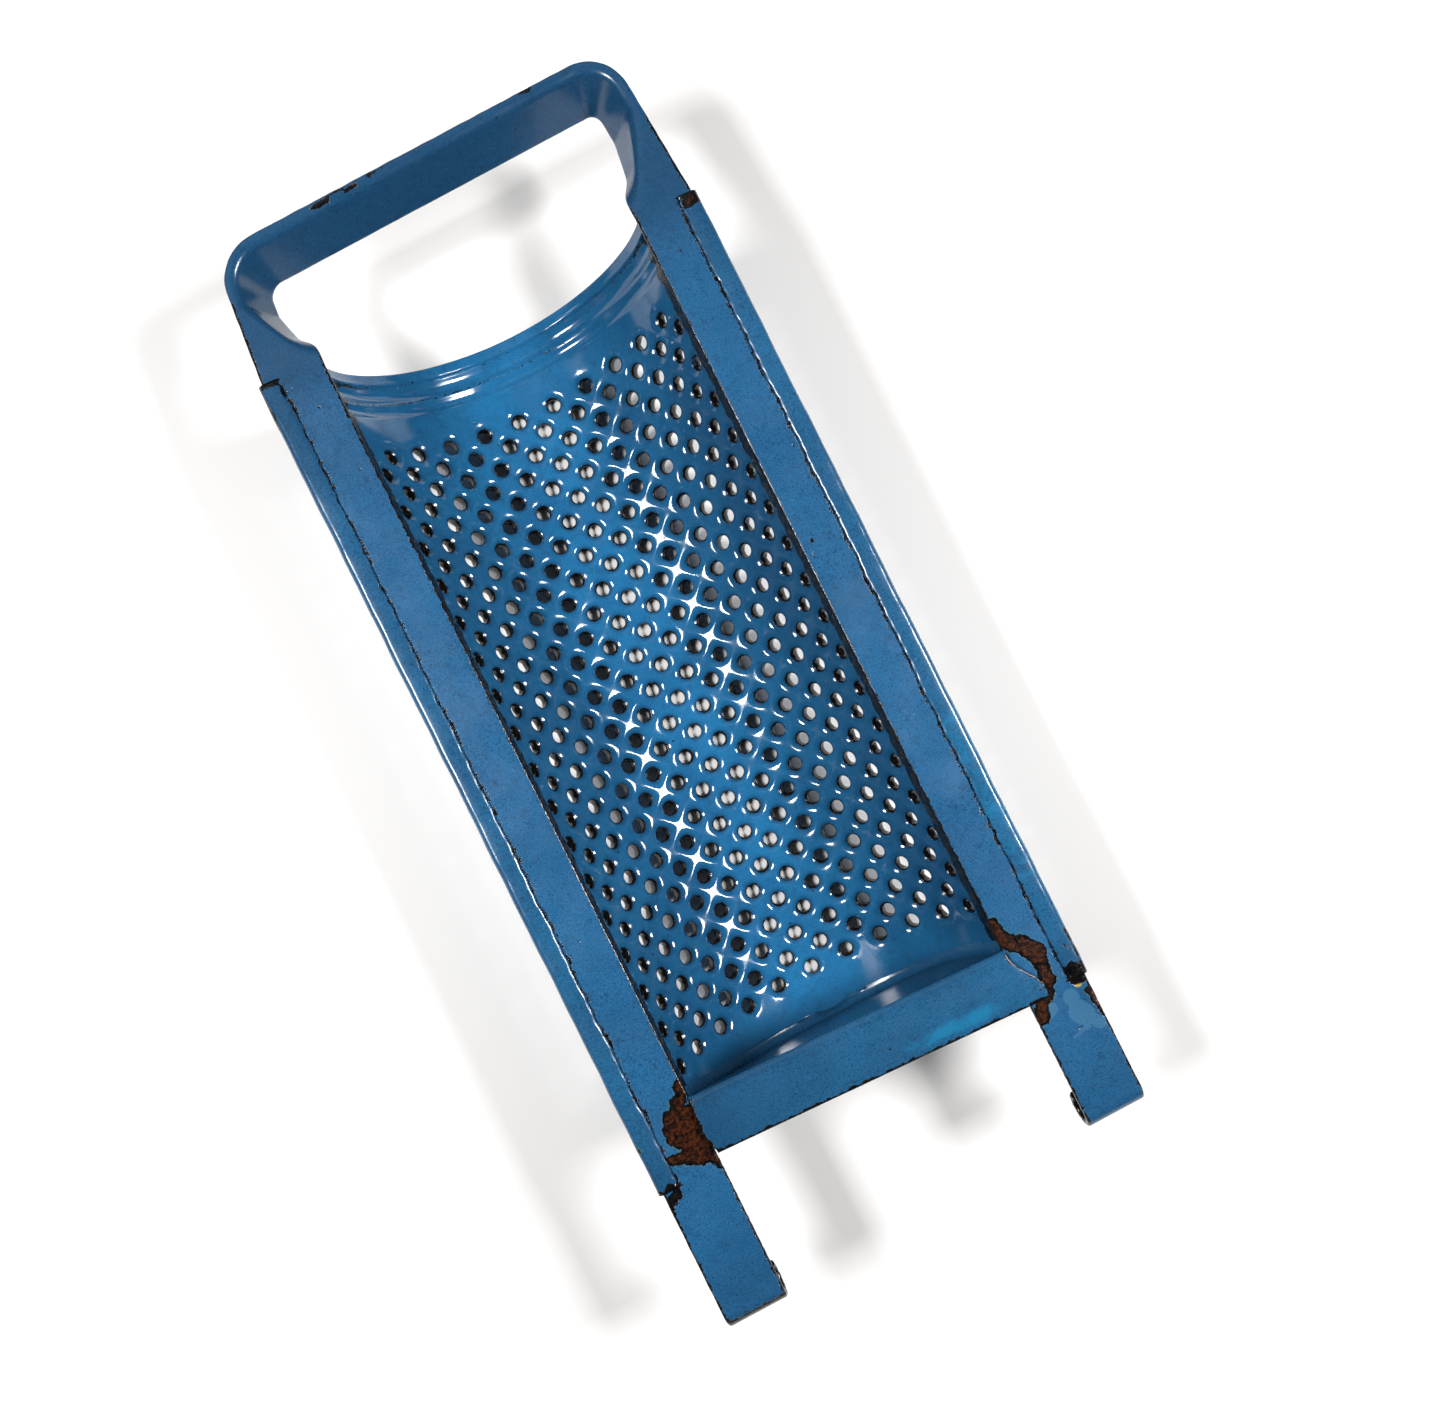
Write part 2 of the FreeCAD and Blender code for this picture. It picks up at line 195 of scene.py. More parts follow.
def grid_faces(ids, close_rows=False, close_columns=False):
    """Quads between neighbours of a table of point numbers."""
    if close_rows:
        ids = np.concatenate([ids, ids[:1]], 0)
    if close_columns:
        ids = np.concatenate([ids, ids[:, :1]], 1)
    return np.stack([ids[:-1, :-1], ids[1:, :-1], ids[1:, 1:], ids[:-1, 1:]], -1).reshape(-1, 4)


# ---------------------------------------------------------------- materials

class Nodes:
    """Short hands for building one material's node tree."""

    def __init__(self, name):
        self.material = bpy.data.materials.new(name)
        self.material.use_nodes = True
        self.tree = self.material.node_tree
        self.tree.nodes.clear()
        self.place = self.new("ShaderNodeTexCoord").outputs["Object"]

    def new(self, kind, **settings):
        node = self.tree.nodes.new(kind)
        for key, value in settings.items():
            setattr(node, key, value)
        return node

    def put(self, socket, value):
        if isinstance(value, bpy.types.NodeSocket):
            self.tree.links.new(value, socket)
        elif isinstance(value, tuple) and len(value) == 3 and socket.type == "RGBA":
            socket.default_value = (*value, 1.0)
        else:
            socket.default_value = value

    def noise(self, scale, detail=3.0, rough=0.55, warp=0.0):
        node = self.new("ShaderNodeTexNoise")
        self.put(node.inputs["Vector"], self.place)
        for key, value in (("Scale", scale), ("Detail", detail), ("Roughness", rough),
                           ("Distortion", warp)):
            self.put(node.inputs[key], value)
        return node.outputs["Fac"]

    def cells(self, scale):
        node = self.new("ShaderNodeTexVoronoi")
        self.put(node.inputs["Vector"], self.place)
        self.put(node.inputs["Scale"], scale)
        return node.outputs["Distance"], node.outputs["Color"]

    def math(self, operation, a, b=0.0):
        node = self.new("ShaderNodeMath", operation=operation)
        self.put(node.inputs[0], a)
        self.put(node.inputs[1], b)
        return node.outputs[0]

    def step(self, value, low, high, first=0.0, last=1.0):
        node = self.new("ShaderNodeMapRange", interpolation_type="SMOOTHSTEP")
        for key, item in (("Value", value), ("From Min", low), ("From Max", high),
                          ("To Min", first), ("To Max", last)):
            self.put(node.inputs[key], item)
        return node.outputs["Result"]

    def mix(self, share, a, b):
        node = self.new("ShaderNodeMix", data_type="RGBA")
        self.put(node.inputs[0], share)
        self.put(node.inputs[6], a)
        self.put(node.inputs[7], b)
        return node.outputs[2]

    def blend(self, share, a, b):
        node = self.new("ShaderNodeMix", data_type="FLOAT")
        self.put(node.inputs[0], share)
        self.put(node.inputs[2], a)
        self.put(node.inputs[3], b)
        return node.outputs[0]

    def mark(self, name):
        return self.new("ShaderNodeAttribute", attribute_name=name).outputs["Fac"]

    def one_channel(self, colour):
        node = self.new("ShaderNodeSeparateColor")
        self.put(node.inputs[0], colour)
        return node.outputs[0]

    def surface(self, colour, roughness, height, distance):
        shader = self.new("ShaderNodeBsdfPrincipled")
        self.put(shader.inputs["Base Color"], colour)
        self.put(shader.inputs["Roughness"], roughness)
        bump = self.new("ShaderNodeBump")
        self.put(bump.inputs["Strength"], 1.0)
        self.put(bump.inputs["Distance"], distance)
        self.put(bump.inputs["Height"], height)
        self.put(shader.inputs["Normal"], bump.outputs["Normal"])
        out = self.new("ShaderNodeOutputMaterial")
        self.put(out.inputs["Surface"], shader.outputs["BSDF"])
        return shader


BLACK, BROWN_BLACK = (0.0015, 0.002, 0.003), (0.009, 0.007, 0.006)
SOOT, RESIDUE = (0.003, 0.003, 0.004), (0.030, 0.024, 0.012)
DARK_RUST, RUST = (0.006, 0.0020, 0.0010), (0.052, 0.0135, 0.0040)
BRASS = (0.28, 0.20, 0.05)
FLECK = (0.12, 0.22, 0.30)
FILM = (0.045, 0.135, 0.235)
SHEEN_CYAN = (0.011, 0.145, 0.285)
TEAL = (0.035, 0.105, 0.120)
BUMP_HEIGHT = 0.00012


def make_enamel(name, deep, middle, bright, speckle, gloss, peel):
    """Blue enamel over a black ground coat, worn, chipped and rusty by marks; one more mark paints
    shade darker and another paints a bright cyan sheen.
    """
    n = Nodes(name)
    fine = n.noise(1100, 4, 0.65)
    coarse = n.noise(330, 5, 0.65)

    def torn(mark, noise, amount, low=0.47, high=0.53):
        ragged = n.math("MULTIPLY", n.math("SUBTRACT", noise, 0.5), amount)
        return n.step(n.math("ADD", n.mark(mark), ragged), low, high)

    clouds = n.noise(38, 4, 0.6)
    mottle = n.noise(420, 4, 0.6)
    grain = n.noise(2300, 3, 0.6)
    pale = tuple(min(1.0, 1.5 * c + 0.012) for c in bright)
    colour = n.mix(n.step(clouds, 0.32, 0.68), middle, bright)
    colour = n.mix(n.step(mottle, 0.48, 0.78, 0.0, 0.35), colour, deep)
    colour = n.mix(n.step(grain, 0.53, 0.68, 0.0, speckle), colour, deep)
    colour = n.mix(n.step(grain, 0.45, 0.30, 0.0, 0.5 * speckle), colour, pale)
    # painted shade: the tone mark darkens the colour towards the deep blue where shade falls
    colour = n.mix(n.mark("tone"), colour, deep)
    spots, tone = n.cells(300)
    pick = n.one_channel(tone)
    pit = n.math("MULTIPLY", n.step(spots, 0.05, 0.12, 1.0, 0.0), n.step(pick, 0.88, 0.90))
    fleck = n.math("MULTIPLY", n.step(spots, 0.04, 0.09, 1.0, 0.0), n.step(pick, 0.12, 0.10))
    colour = n.mix(n.math("MULTIPLY", fleck, 0.5), colour, FLECK)
    film = n.step(n.mark("pale"), 0.47, 0.53)
    colour = n.mix(n.math("MULTIPLY", film, 0.55), colour, FILM)
    # painted sheen: bright cyan patches of caught light, placed by the sheen mark
    glow = torn("glow", n.noise(130, 5, 0.7, 1.5), 1.5, 0.40, 0.95)
    colour = n.mix(n.math("MULTIPLY", glow, 0.75), colour, SHEEN_CYAN)
    teal = torn("rust", coarse, 0.9, 0.22, 0.32)
    colour = n.mix(n.math("MULTIPLY", teal, n.step(fine, 0.45, 0.6)), colour, TEAL)
    worn = torn("worn", fine, 0.42)
    chip = torn("chip", coarse, 0.7)
    seam = torn("seam", fine, 0.5)
    rim = torn("rust", coarse, 0.9, 0.33, 0.37)
    rust = torn("rust", coarse, 0.9, 0.50, 0.54)
    rust = n.math("MULTIPLY", rust, n.step(n.noise(560, 3), 0.36, 0.44))
    dark = n.math("MAXIMUM", n.math("MAXIMUM", worn, chip), n.math("MAXIMUM", pit, rim))
    ground = n.mix(n.step(fine, 0.4, 0.7), BLACK, BROWN_BLACK)
    colour = n.mix(dark, colour, ground)
    residue = n.mix(n.step(n.noise(600, 4), 0.50, 0.66), SOOT, RESIDUE)
    colour = n.mix(seam, colour, residue)
    oxide = n.mix(n.step(n.noise(900, 5, 0.75), 0.40, 0.62), DARK_RUST, RUST)
    colour = n.mix(rust, colour, oxide)
    colour = n.mix(torn("brass", coarse, 0.5), colour, BRASS)
    bare = n.math("MAXIMUM", dark, n.math("MAXIMUM", rust, seam))
    roughness = n.step(n.noise(90, 3), 0.3, 0.7, gloss, gloss + 0.10)
    roughness = n.blend(bare, roughness, n.step(n.noise(2000, 2), 0.4, 0.6, 0.10, 0.22))
    roughness = n.blend(rust, roughness, 0.24)
    height = n.math("MULTIPLY", n.noise(330, 2, 0.5), peel)
    height = n.math("ADD", height, n.math("MULTIPLY", grain, 0.25 * peel))
    height = n.math("SUBTRACT", height, n.math("MULTIPLY", bare, 0.8))
    crust = n.math("MULTIPLY", bare, n.math("MULTIPLY", n.noise(1300, 4, 0.6), 0.7))
    height = n.math("ADD", height, crust)
    shader = n.surface(colour, roughness, height, BUMP_HEIGHT)
    n.put(shader.inputs["IOR"], 1.52)
    return n.material


# ------------------------------------------------------------- grating sheet

def lattice(k, m):
    """Arc length and Y of a place in the tooth lattice: column k, line m."""
    size = np.abs(k)
    angle = np.radians(COLUMN_ANGLE * np.minimum(size, TOOTH_HALF)
                       + EDGE_COLUMN_ANGLE * np.maximum(size - TOOTH_HALF, 0)) * np.sign(k)
    return ARCH_RADIUS * angle, FIRST_ROW - (m - 1) * ROW_PITCH + ROW_SKEW * k


def lattice_cell(s, y):
    """Column and line nearest to a place on the sheet."""
    return (np.round(s / (ARCH_RADIUS * math.radians(COLUMN_ANGLE))),
            np.round((FIRST_ROW - y) / ROW_PITCH + 1))


NEIGHBOURS = [(dk, dm) for dk in (-1, 0, 1) for dm in (-1, 0, 1)]


def has_tooth(k, m):
    return (np.abs(k) <= TOOTH_HALF) & (m >= 1) & (m <= TOOTH_ROWS) & ((k + m) % 2 == 0)


def dimple_depth(s, y, rim):
    """How far the punching has pushed the sheet outwards, from all near teeth."""
    column, line = lattice_cell(s, y)
    depth = np.zeros_like(s)
    for dk, dm in NEIGHBOURS:
        cs, cy = lattice(column + dk, line + dm)
        share = (DIMPLE_REACH - np.hypot(s - cs, y - cy)) / (DIMPLE_REACH - rim)
        dish = DIMPLE * np.clip(share, 0, 1.1) ** DIMPLE_POWER
        depth += np.where(has_tooth(column + dk, line + dm), dish, 0.0)
    return depth


def sheet_depth(s, y, outside):
    """Outward displacement of the sheet: dimples, beads, folded lip, unevenness."""
    depth = dimple_depth(s, y, 2.3 if outside else BORE)
    for centre, half, deep in BEADS:
        across = np.clip((y - (RAIL_TOP - centre)) / half, -1.15, 1.15) / 1.15
        depth = depth + deep * np.cos(across * math.pi / 2) ** 1.5
    if not outside:
        from_lip = (y - (RAIL_TOP - LIP_WIDTH)) / 0.5 + 0.25 * waves(s, (9, 4, 2.3), 5)
        depth = depth - 0.5 * smooth(from_lip) - 0.12 * np.exp(-((from_lip - 1.6) / 0.9) ** 2)
    depth = depth + 0.22 * swell(s, y, (70, 41, 26), 11) * smooth((66 - np.abs(s)) / 18)
    return depth


def build_sheet():
    tooth_cells = []
    plain = []
    for m in range(0, LAST_LINE + 1):
        for k in range(-LAST_COLUMN, LAST_COLUMN + 1):
            if (k + m) % 2 == 0:
                (tooth_cells if has_tooth(k, m) else plain).append((k, m))
    cells = np.array(tooth_cells)
    # outline of a diamond cell, in sixths of the lattice step
    corners = [(1, 0), (0, 1), (-1, 0), (0, -1)]
    outline = []
    for i in range(4):
        a, b = corners[i], corners[(i + 1) % 4]
        outline += [((a[0] * (PARTS - t) + b[0] * t), (a[1] * (PARTS - t) + b[1] * t))
                    for t in range(PARTS)]
    outline = np.array(outline)
    count = len(outline)

    def key(k6, m6):
        return (k6 + 100) * 1000 + (m6 + 100)

    cell_keys = key(cells[:, :1] * PARTS + outline[:, 0], cells[:, 1:] * PARTS + outline[:, 1])
    quad_keys = []
    tri_keys = []
    for k, m in plain:
        for sk in (-1, 1):
            for sm in (-1, 1):
                if abs(k + sk) > LAST_COLUMN or m + sm < 0 or m + sm > LAST_LINE:
                    continue
                for i in range(PARTS):
                    for j in range(PARTS - i):
                        ring = [(i, j), (i + 1, j), (i + 1, j + 1), (i, j + 1)]
                        if sk * sm < 0:
                            ring = ring[::-1]
                        ring = [key(k * PARTS + sk * a, m * PARTS + sm * b) for a, b in ring]
                        if i + j < PARTS - 1:
                            quad_keys.append(ring)
                        else:
                            skip = 2 if sk * sm > 0 else 1
                            tri_keys.append(ring[:skip] + ring[skip + 1:])
    quad_keys, tri_keys = np.array(quad_keys), np.array(tri_keys)
    every_key = np.concatenate([cell_keys.ravel(), quad_keys.ravel(), tri_keys.ravel()])
    keys, inverse = np.unique(every_key, return_inverse=True)
    inverse = inverse.ravel()
    n_cell, n_quad = cell_keys.size, quad_keys.size
    cell_ids = inverse[:n_cell].reshape(cell_keys.shape)
    quads = inverse[n_cell:n_cell + n_quad].reshape(-1, 4)
    tris = inverse[n_cell + n_quad:].reshape(-1, 3)
    k6, m6 = keys // 1000 - 100, keys % 1000 - 100
    shared_s, shared_y = lattice(k6 / PARTS, m6 / PARTS)
    lookup = {int(value): index for index, value in enumerate(keys)}
    columns = np.arange(-LAST_COLUMN * PARTS, LAST_COLUMN * PARTS + 1)
    head = np.array([lookup[int(key(c, 0))] for c in columns])
    foot = np.array([lookup[int(key(c, LAST_LINE * PARTS))] for c in columns])
    column_s = lattice(columns / PARTS, 0.0)[0]
    lines = np.arange(0, LAST_LINE * PARTS + 1)
    edges = [np.array([lookup[int(key(k, m))] for m in lines if int(key(k, m)) in lookup])
             for k in (-LAST_COLUMN * PARTS, LAST_COLUMN * PARTS)]

    centre_s, centre_y = lattice(cells[:, 0].astype(float), cells[:, 1].astype(float))
    rng = np.random.default_rng(3)
    punch_r = BORE * rng.uniform(0.95, 1.05, len(cells))
    nominal_s, nominal_y = centre_s, centre_y
    shift_s, shift_y = rng.normal(0, 0.10, (2, len(cells)))
    centre_s, centre_y = centre_s + shift_s, centre_y + shift_y
    theta = 2 * math.pi * np.arange(count) / count
    phase = rng.uniform(0, 2 * math.pi, len(cells))
    petals = rng.integers(4, 6, len(cells))
    bite = rng.uniform(0.5, 1.0, len(cells))
    rough = rng.normal(0, 1, (len(cells), count))
    jag = np.abs(np.sin(petals[:, None] * theta / 2 + phase[:, None])) ** 0.7
    torn = 0.45 * bite[:, None] * (1 - jag) + 0.08 * np.abs(rough)

    end_y = -(PLATE_TOP + SHEET_THICK)
    arch_drop = FRONT - (ARCH_AXIS - ARCH_RADIUS * np.cos(column_s / ARCH_RADIUS))
    foot_y = end_y - arch_drop * math.tan(PLATE_LEAN)

    def side(outside):
        """Points (s, y, depth), faces and marks of one face of the sheet."""
        if outside:
            radii = np.array(OUTER_RADII)
        else:
            radii = np.array(INNER_RADII)
        wall = shared_s[cell_ids], shared_y[cell_ids]
        s_rings = []
        y_rings = []
        d_rings = []
        for r in radii:
            own = float(smooth((3.3 - r) / 1.2))
            scale = 1 + (punch_r[:, None] / BORE - 1) * own
            rs = nominal_s[:, None] + (shift_s * own)[:, None] + r * scale * np.cos(theta)
            ry = nominal_y[:, None] + (shift_y * own)[:, None] - r * scale * np.sin(theta)
            depth = sheet_depth(rs, ry, outside)
            if outside:
                climb = np.clip((3.1 - r) / (3.1 - OUTER_RADII[0]), 0, 1) ** 1.3
                tip = TIP_DEPTH - torn - SHEET_THICK
                depth = depth + (tip - depth) * climb
            s_rings.append(rs)
            y_rings.append(ry)
            d_rings.append(depth)
        half_s, half_y = 0.5 * (s_rings[-1] + wall[0]), 0.5 * (y_rings[-1] + wall[1])
        s_rings.append(half_s)
        y_rings.append(half_y)
        d_rings.append(sheet_depth(half_s, half_y, outside))
        ring_s, ring_y, ring_d = (np.stack(a, 1) for a in (s_rings, y_rings, d_rings))
        shared_d = sheet_depth(shared_s, shared_y, outside)
        ring_ids = len(shared_s) + np.arange(ring_s.size).reshape(ring_s.shape)
        rows = np.concatenate([ring_ids, cell_ids[:, None, :]], 1)
        closed = np.concatenate([rows, rows[:, :, :1]], 2)
        ring_faces = np.stack([closed[:, :-1, :-1], closed[:, 1:, :-1], closed[:, 1:, 1:],
                               closed[:, :-1, 1:]], -1).reshape(-1, 4)
        s = [shared_s, ring_s.ravel()]
        y = [shared_y, ring_y.ravel()]
        d = [shared_d, ring_d.ravel()]
        total = len(shared_s) + ring_s.size
        head_rows = [head]
        for level in HEAD_LEVELS:
            head_rows.append(total + np.arange(len(columns)))
            total += len(columns)
            s.append(column_s)
            y.append(np.full(len(columns), level))
            d.append(sheet_depth(column_s, y[-1], outside))
        foot_rows = [foot]
        for step in range(1, 6):
            foot_rows.append(total + np.arange(len(columns)))
            total += len(columns)
            s.append(column_s)
            y.append(shared_y[foot] + (foot_y - shared_y[foot]) * step / 5)
            d.append(sheet_depth(column_s, y[-1], outside) * (1 - step / 5))
        faces = [ring_faces[:, ::-1], quads[:, ::-1], tris[:, ::-1],
                 grid_faces(np.stack(head_rows))[:, ::-1], grid_faces(np.stack(foot_rows))]
        borders = [np.concatenate([[row[end] for row in head_rows[:0:-1]], edges[end],
                                   [row[end] for row in foot_rows[1:]]]) for end in (0, -1)]
        return (np.concatenate(s), np.concatenate(y), np.concatenate(d), faces, ring_ids,
                head_rows[-1], foot_rows[-1], borders)

    in_s, in_y, in_d, in_faces, in_rings, in_head, in_foot, in_borders = side(False)
    out_s, out_y, out_d, out_faces, out_rings, out_head, out_foot, out_borders = side(True)
    offset = len(in_s)
    s = np.concatenate([in_s, out_s])
    y = np.concatenate([in_y, out_y])
    radius = ARCH_RADIUS + np.concatenate([in_d, out_d + SHEET_THICK])
    # tube through each tooth, from the lip down to the torn tip
    tube = []
    tip_depth = TIP_DEPTH - torn
    lip_depth = in_d[in_rings[:, 0, :]]
    for share, width in ((0.12, 0.96), (0.4, 0.93), (0.75, 0.94), (1.0, 1.02)):
        ids = len(s) + np.arange(in_rings[:, 0, :].size).reshape(in_rings[:, 0, :].shape)
        tube.append(ids)
        r = punch_r[:, None] * width
        s = np.concatenate([s, (centre_s[:, None] + r * np.cos(theta)).ravel()])
        y = np.concatenate([y, (centre_y[:, None] - r * np.sin(theta)).ravel()])
        radius = np.concatenate([radius, ARCH_RADIUS
                                 + (lip_depth + (tip_depth - lip_depth) * share).ravel()])
    order = [in_rings[:, 0, :]] + tube + [out_rings[:, 0, :] + offset]
    stack = np.stack(order, 1)
    stack = np.concatenate([stack, stack[:, :, :1]], 2)
    tube_faces = np.stack([stack[:, :-1, :-1], stack[:, 1:, :-1], stack[:, 1:, 1:],
                           stack[:, :-1, 1:]], -1).reshape(-1, 4)
    faces = [f for f in in_faces] + [f[:, ::-1] + offset for f in out_faces] + [tube_faces]
    faces.append(grid_faces(np.stack([in_head, out_head + offset]))[:, ::-1])
    faces.append(grid_faces(np.stack([in_foot, out_foot + offset])))
    faces.append(grid_faces(np.stack([in_borders[0], out_borders[0] + offset])))
    faces.append(grid_faces(np.stack([in_borders[1], out_borders[1] + offset]))[:, ::-1])
    angle = s / ARCH_RADIUS
    points = np.stack([radius * np.sin(angle), y, ARCH_AXIS - radius * np.cos(angle)], 1)

    near = np.full(len(s), 9.0)
    column, line = lattice_cell(s, y)
    for dk, dm in NEIGHBOURS:
        cs, cy = lattice(column + dk, line + dm)
        here = np.where(has_tooth(column + dk, line + dm), np.hypot(s - cs, y - cy), 9.0)
        near = np.minimum(near, here)
    inner = radius < ARCH_RADIUS + 0.5 * SHEET_THICK + sheet_depth(s, y, False)
    # black ground coat at the punched rims is real wear; blackening the whole bore down each tooth
    # paints its shade
    worn = np.where(near < BORE * 1.04, 1.0, nearness(near - BORE * 1.04, 0.10))
    ridge = np.abs(y - (RAIL_TOP - 8.45) + 0.15 * waves(s, (20, 9), 61))
    worn = np.maximum(worn, np.where(inner, nearness(ridge, 0.12 - 0.25 * smooth(s / 40)), 0))
    worn = np.maximum(worn, nearness(RAIL_TOP - y, -0.1))
    crack = np.abs(y - (RAIL_TOP - LIP_WIDTH - 0.15) + 0.2 * waves(s, (17, 8, 4), 62))
    width = -0.12 + 0.45 * smooth((np.abs(s) - 36) / 20)
    seam = np.where(inner, nearness(crack, width), 0)
    below_rail = FRONT - points[:, 2]
    under_rail = inner & (np.abs(angle) > math.radians(60)) & (y < RAIL_TOP - LIP_WIDTH)
    sooty = nearness(below_rail, 7.4 + 0.5 * waves(y, (11, 5), 63))
    seam = np.maximum(seam, np.where(under_rail, sooty, 0))
    # painted shade: darker round each hole's dish, on the arch's steep sides and where the sheet
    # runs into the end wall; the outer face is darkened round each tooth too
    painted_rim_shade = 0.55 * smooth((3.3 - near) / 1.3)
    turn = np.degrees(angle)
    painted_side_shade = 0.52 * smooth((turn - 20) / 38) + 0.26 * smooth((-turn - 34) / 30)
    to_wall = y - (-PLATE_TOP - (FRONT - points[:, 2]) * math.tan(PLATE_LEAN))
    painted_side_shade = np.maximum(painted_side_shade, 0.5 * smooth((9 - to_wall) / 7))
    tone = np.where(inner, np.maximum(painted_rim_shade, painted_side_shade), 0.35 * smooth((3.3 - near) / 1.3))
    zero = np.zeros(len(s))
    marks = {"worn": worn, "seam": seam, "chip": zero, "rust": zero, "pale": zero, "glow": zero,
             "brass": zero, "tone": tone}
    return points, faces, marks


# -------------------------------------------------------------- strip frame

def strip_outline(width, corner, across):
    """Closed section of the strip: distance from the outer edge, height."""
    inner, low = width - corner, corner - STRIP_THICK
    outline = [(corner + (width - 2 * corner) * step / across, 0.0) for step in range(across + 1)]

    def round_corner(a, b, start):
        for step in range(1, 5):
            angle = math.radians(start - 90 * step / 4)
            outline.append((a + corner * math.cos(angle), b + corner * math.sin(angle)))

    round_corner(inner, -corner, 90)
    round_corner(inner, low, 0)
    outline.extend((inner - (width - 2 * corner) * step / across, -STRIP_THICK)
                   for step in range(1, across + 1))
    round_corner(corner, low, -90)
    round_corner(corner, -corner, 180)
    return np.array(outline[:-1]).T


def strip_stations():
    """Outer-edge places of the whole strip, right foot to left foot.

    Each is x, y, z, the turn of the inward direction, the foot's roll about X and the
    distance run along the handle from the rail's top.
    """
    rows = []

    def curl(side, low_y):
        centre_y = low_y + CURL_RADIUS
        for step in range(41):
            roll = math.radians(CURL_ANGLE) * step / 40
            yield (side * STRIP_OUTER, centre_y - CURL_RADIUS * math.sin(roll),
                   FRONT - CURL_RADIUS + CURL_RADIUS * math.cos(roll),
                   0.0 if side > 0 else math.pi, roll, 0.0)

    def rail(side, low_y):
        start = low_y + CURL_RADIUS
        steps = int((RAIL_TOP - start) / 0.8)
        for step in range(1, steps):
            yield (side * STRIP_OUTER, start + (RAIL_TOP - start) * step / steps, FRONT,
                   0.0 if side > 0 else math.pi, 0.0, 0.0)

    rows += list(curl(1, RAIL_LOW[1]))[::-1] + list(rail(1, RAIL_LOW[1]))
    rise = HANDLE_REACH - RAIL_TOP
    turn = math.pi / 2 - HANDLE_TAPER
    tangent = HANDLE_CORNER * math.tan(turn / 2)
    length = rise / math.cos(HANDLE_TAPER) - tangent
    bar = STRIP_OUTER - rise * math.tan(HANDLE_TAPER) - tangent
    arm = []
    for step in range(41):
        run = length * step / 41
        arm.append((STRIP_OUTER - run * math.sin(HANDLE_TAPER),
                    RAIL_TOP + run * math.cos(HANDLE_TAPER),
                    HANDLE_TAPER * float(smooth(run / FOLD_RUN)), run))
    for step in range(24):
        angle = HANDLE_TAPER + turn * step / 24
        arm.append((bar + HANDLE_CORNER * math.cos(angle),
                    HANDLE_REACH - HANDLE_CORNER + HANDLE_CORNER * math.sin(angle), angle,
                    length + HANDLE_CORNER * (angle - HANDLE_TAPER)))
    for step in range(50):
        arm.append((bar * (1 - step / 50), HANDLE_REACH, math.pi / 2, 2 * FOLD_RUN))
    skew = math.tan(HANDLE_SKEW)
    for x, y, angle, run in arm + [(-x, y, math.pi - a, r) for x, y, a, r in arm[:0:-1]]:
        y += x * skew * float(smooth((y - RAIL_TOP) / rise))
        rows.append((x, y, FRONT, angle, 0.0, run))
    rows += list(rail(-1, LEFT_LOW[1]))[::-1] + list(curl(-1, LEFT_LOW[1]))
    return np.array(rows)


def flap_edge(y, side):
    """Distance of the hem flap's inner edge from the middle, uneven by hand."""
    return HEM_HIGH[0] - HEM_FLAP + 0.32 * waves(y, (31, 17, 9.5, 4.2), 21 if side > 0 else 22)


# marks on the strip: x and y of a stroke's two ends, and its half width
STRIP_CHIPS = (
    (-28.5, 145.6, -24.5, 145.9, 0.75), (-24.5, 146.6, -20, 146.9, 0.35),
    (-19.2, 146.0, -16.5, 146.2, 0.65), (-13, 147.0, -8, 147.4, 0.45),
    (31.5, 150.2, 33.5, 150.3, 0.5), (48.9, -125.4, 54.2, -124.7, 0.10),
    (-49.4, 99.3, -49.3, 99.3, 0.35), (-47.2, 97.1, -47.1, 97.1, 0.35),
    (-48.8, 96.6, -48.7, 96.6, 0.2), (54.0, 100.4, 54.1, 100.4, 0.35),
    (46.7, 15.6, 46.7, 15.5, 0.3), (45.4, 12.8, 45.2, 11.8, 0.3),
    (-55.5, -110.4, -55.8, -114.4, 1.0), (-58.0, -115.6, -56.4, -114.6, 1.3),
    (-59.2, -116, -59.4, -120.5, 0.7), (56.5, -113.4, 58.9, -113.9, 1.5),
    (59.0, -117.0, 59.3, -124.5, 0.75), (43.6, -92, 43.8, -97, 0.9),
)
STRIP_RUST = (
    (-44.0, -91.5, -46.2, -95.0, 1.3), (-47.0, -95.6, -48.4, -98.0, 1.5),
    (-48.4, -98.5, -49.6, -101.4, 3.1), (-45.4, -99.2, -45.4, -106.0, 2.9),
    (-48.8, -104.6, -48.9, -106.4, 1.2), (-53.6, -106.4, -43.6, -110.8, 1.0),
    (-43.4, -110.5, -42.8, -112.6, 1.2), (43.8, -91.4, 44.3, -96.0, 1.3),
    (44.4, -96.4, 48.0, -99.4, 1.7), (48.4, -99.8, 51.0, -103.4, 2.0),
    (50.9, -104.0, 50.0, -110.6, 1.5), (49.8, -110.8, 47.6, -114.0, 1.5),
    (46.4, -114.6, 44.6, -118.0, 1.5), (58.6, -117.6, 59.2, -121.5, 0.4),
)
STRIP_PALE = (
    (53.6, -116.9, 53.7, -117.1, 2.1), (53.9, -121.2, 54.6, -122.2, 2.9),
    (57.2, -125.6, 57.5, -125.9, 1.7), (47.0, -117.9, 48.0, -117.2, 1.5),
    (49.6, -126.2, 54.6, -125.6, 0.45), (-54.5, -121.5, -53.0, -122.5, 0.2),
)
STRIP_BRASS = (
    (56.0, -115.2, 58.9, -115.7, 0.30),
)


def running_sum(steps):
    return np.concatenate([[0], np.cumsum(steps)])


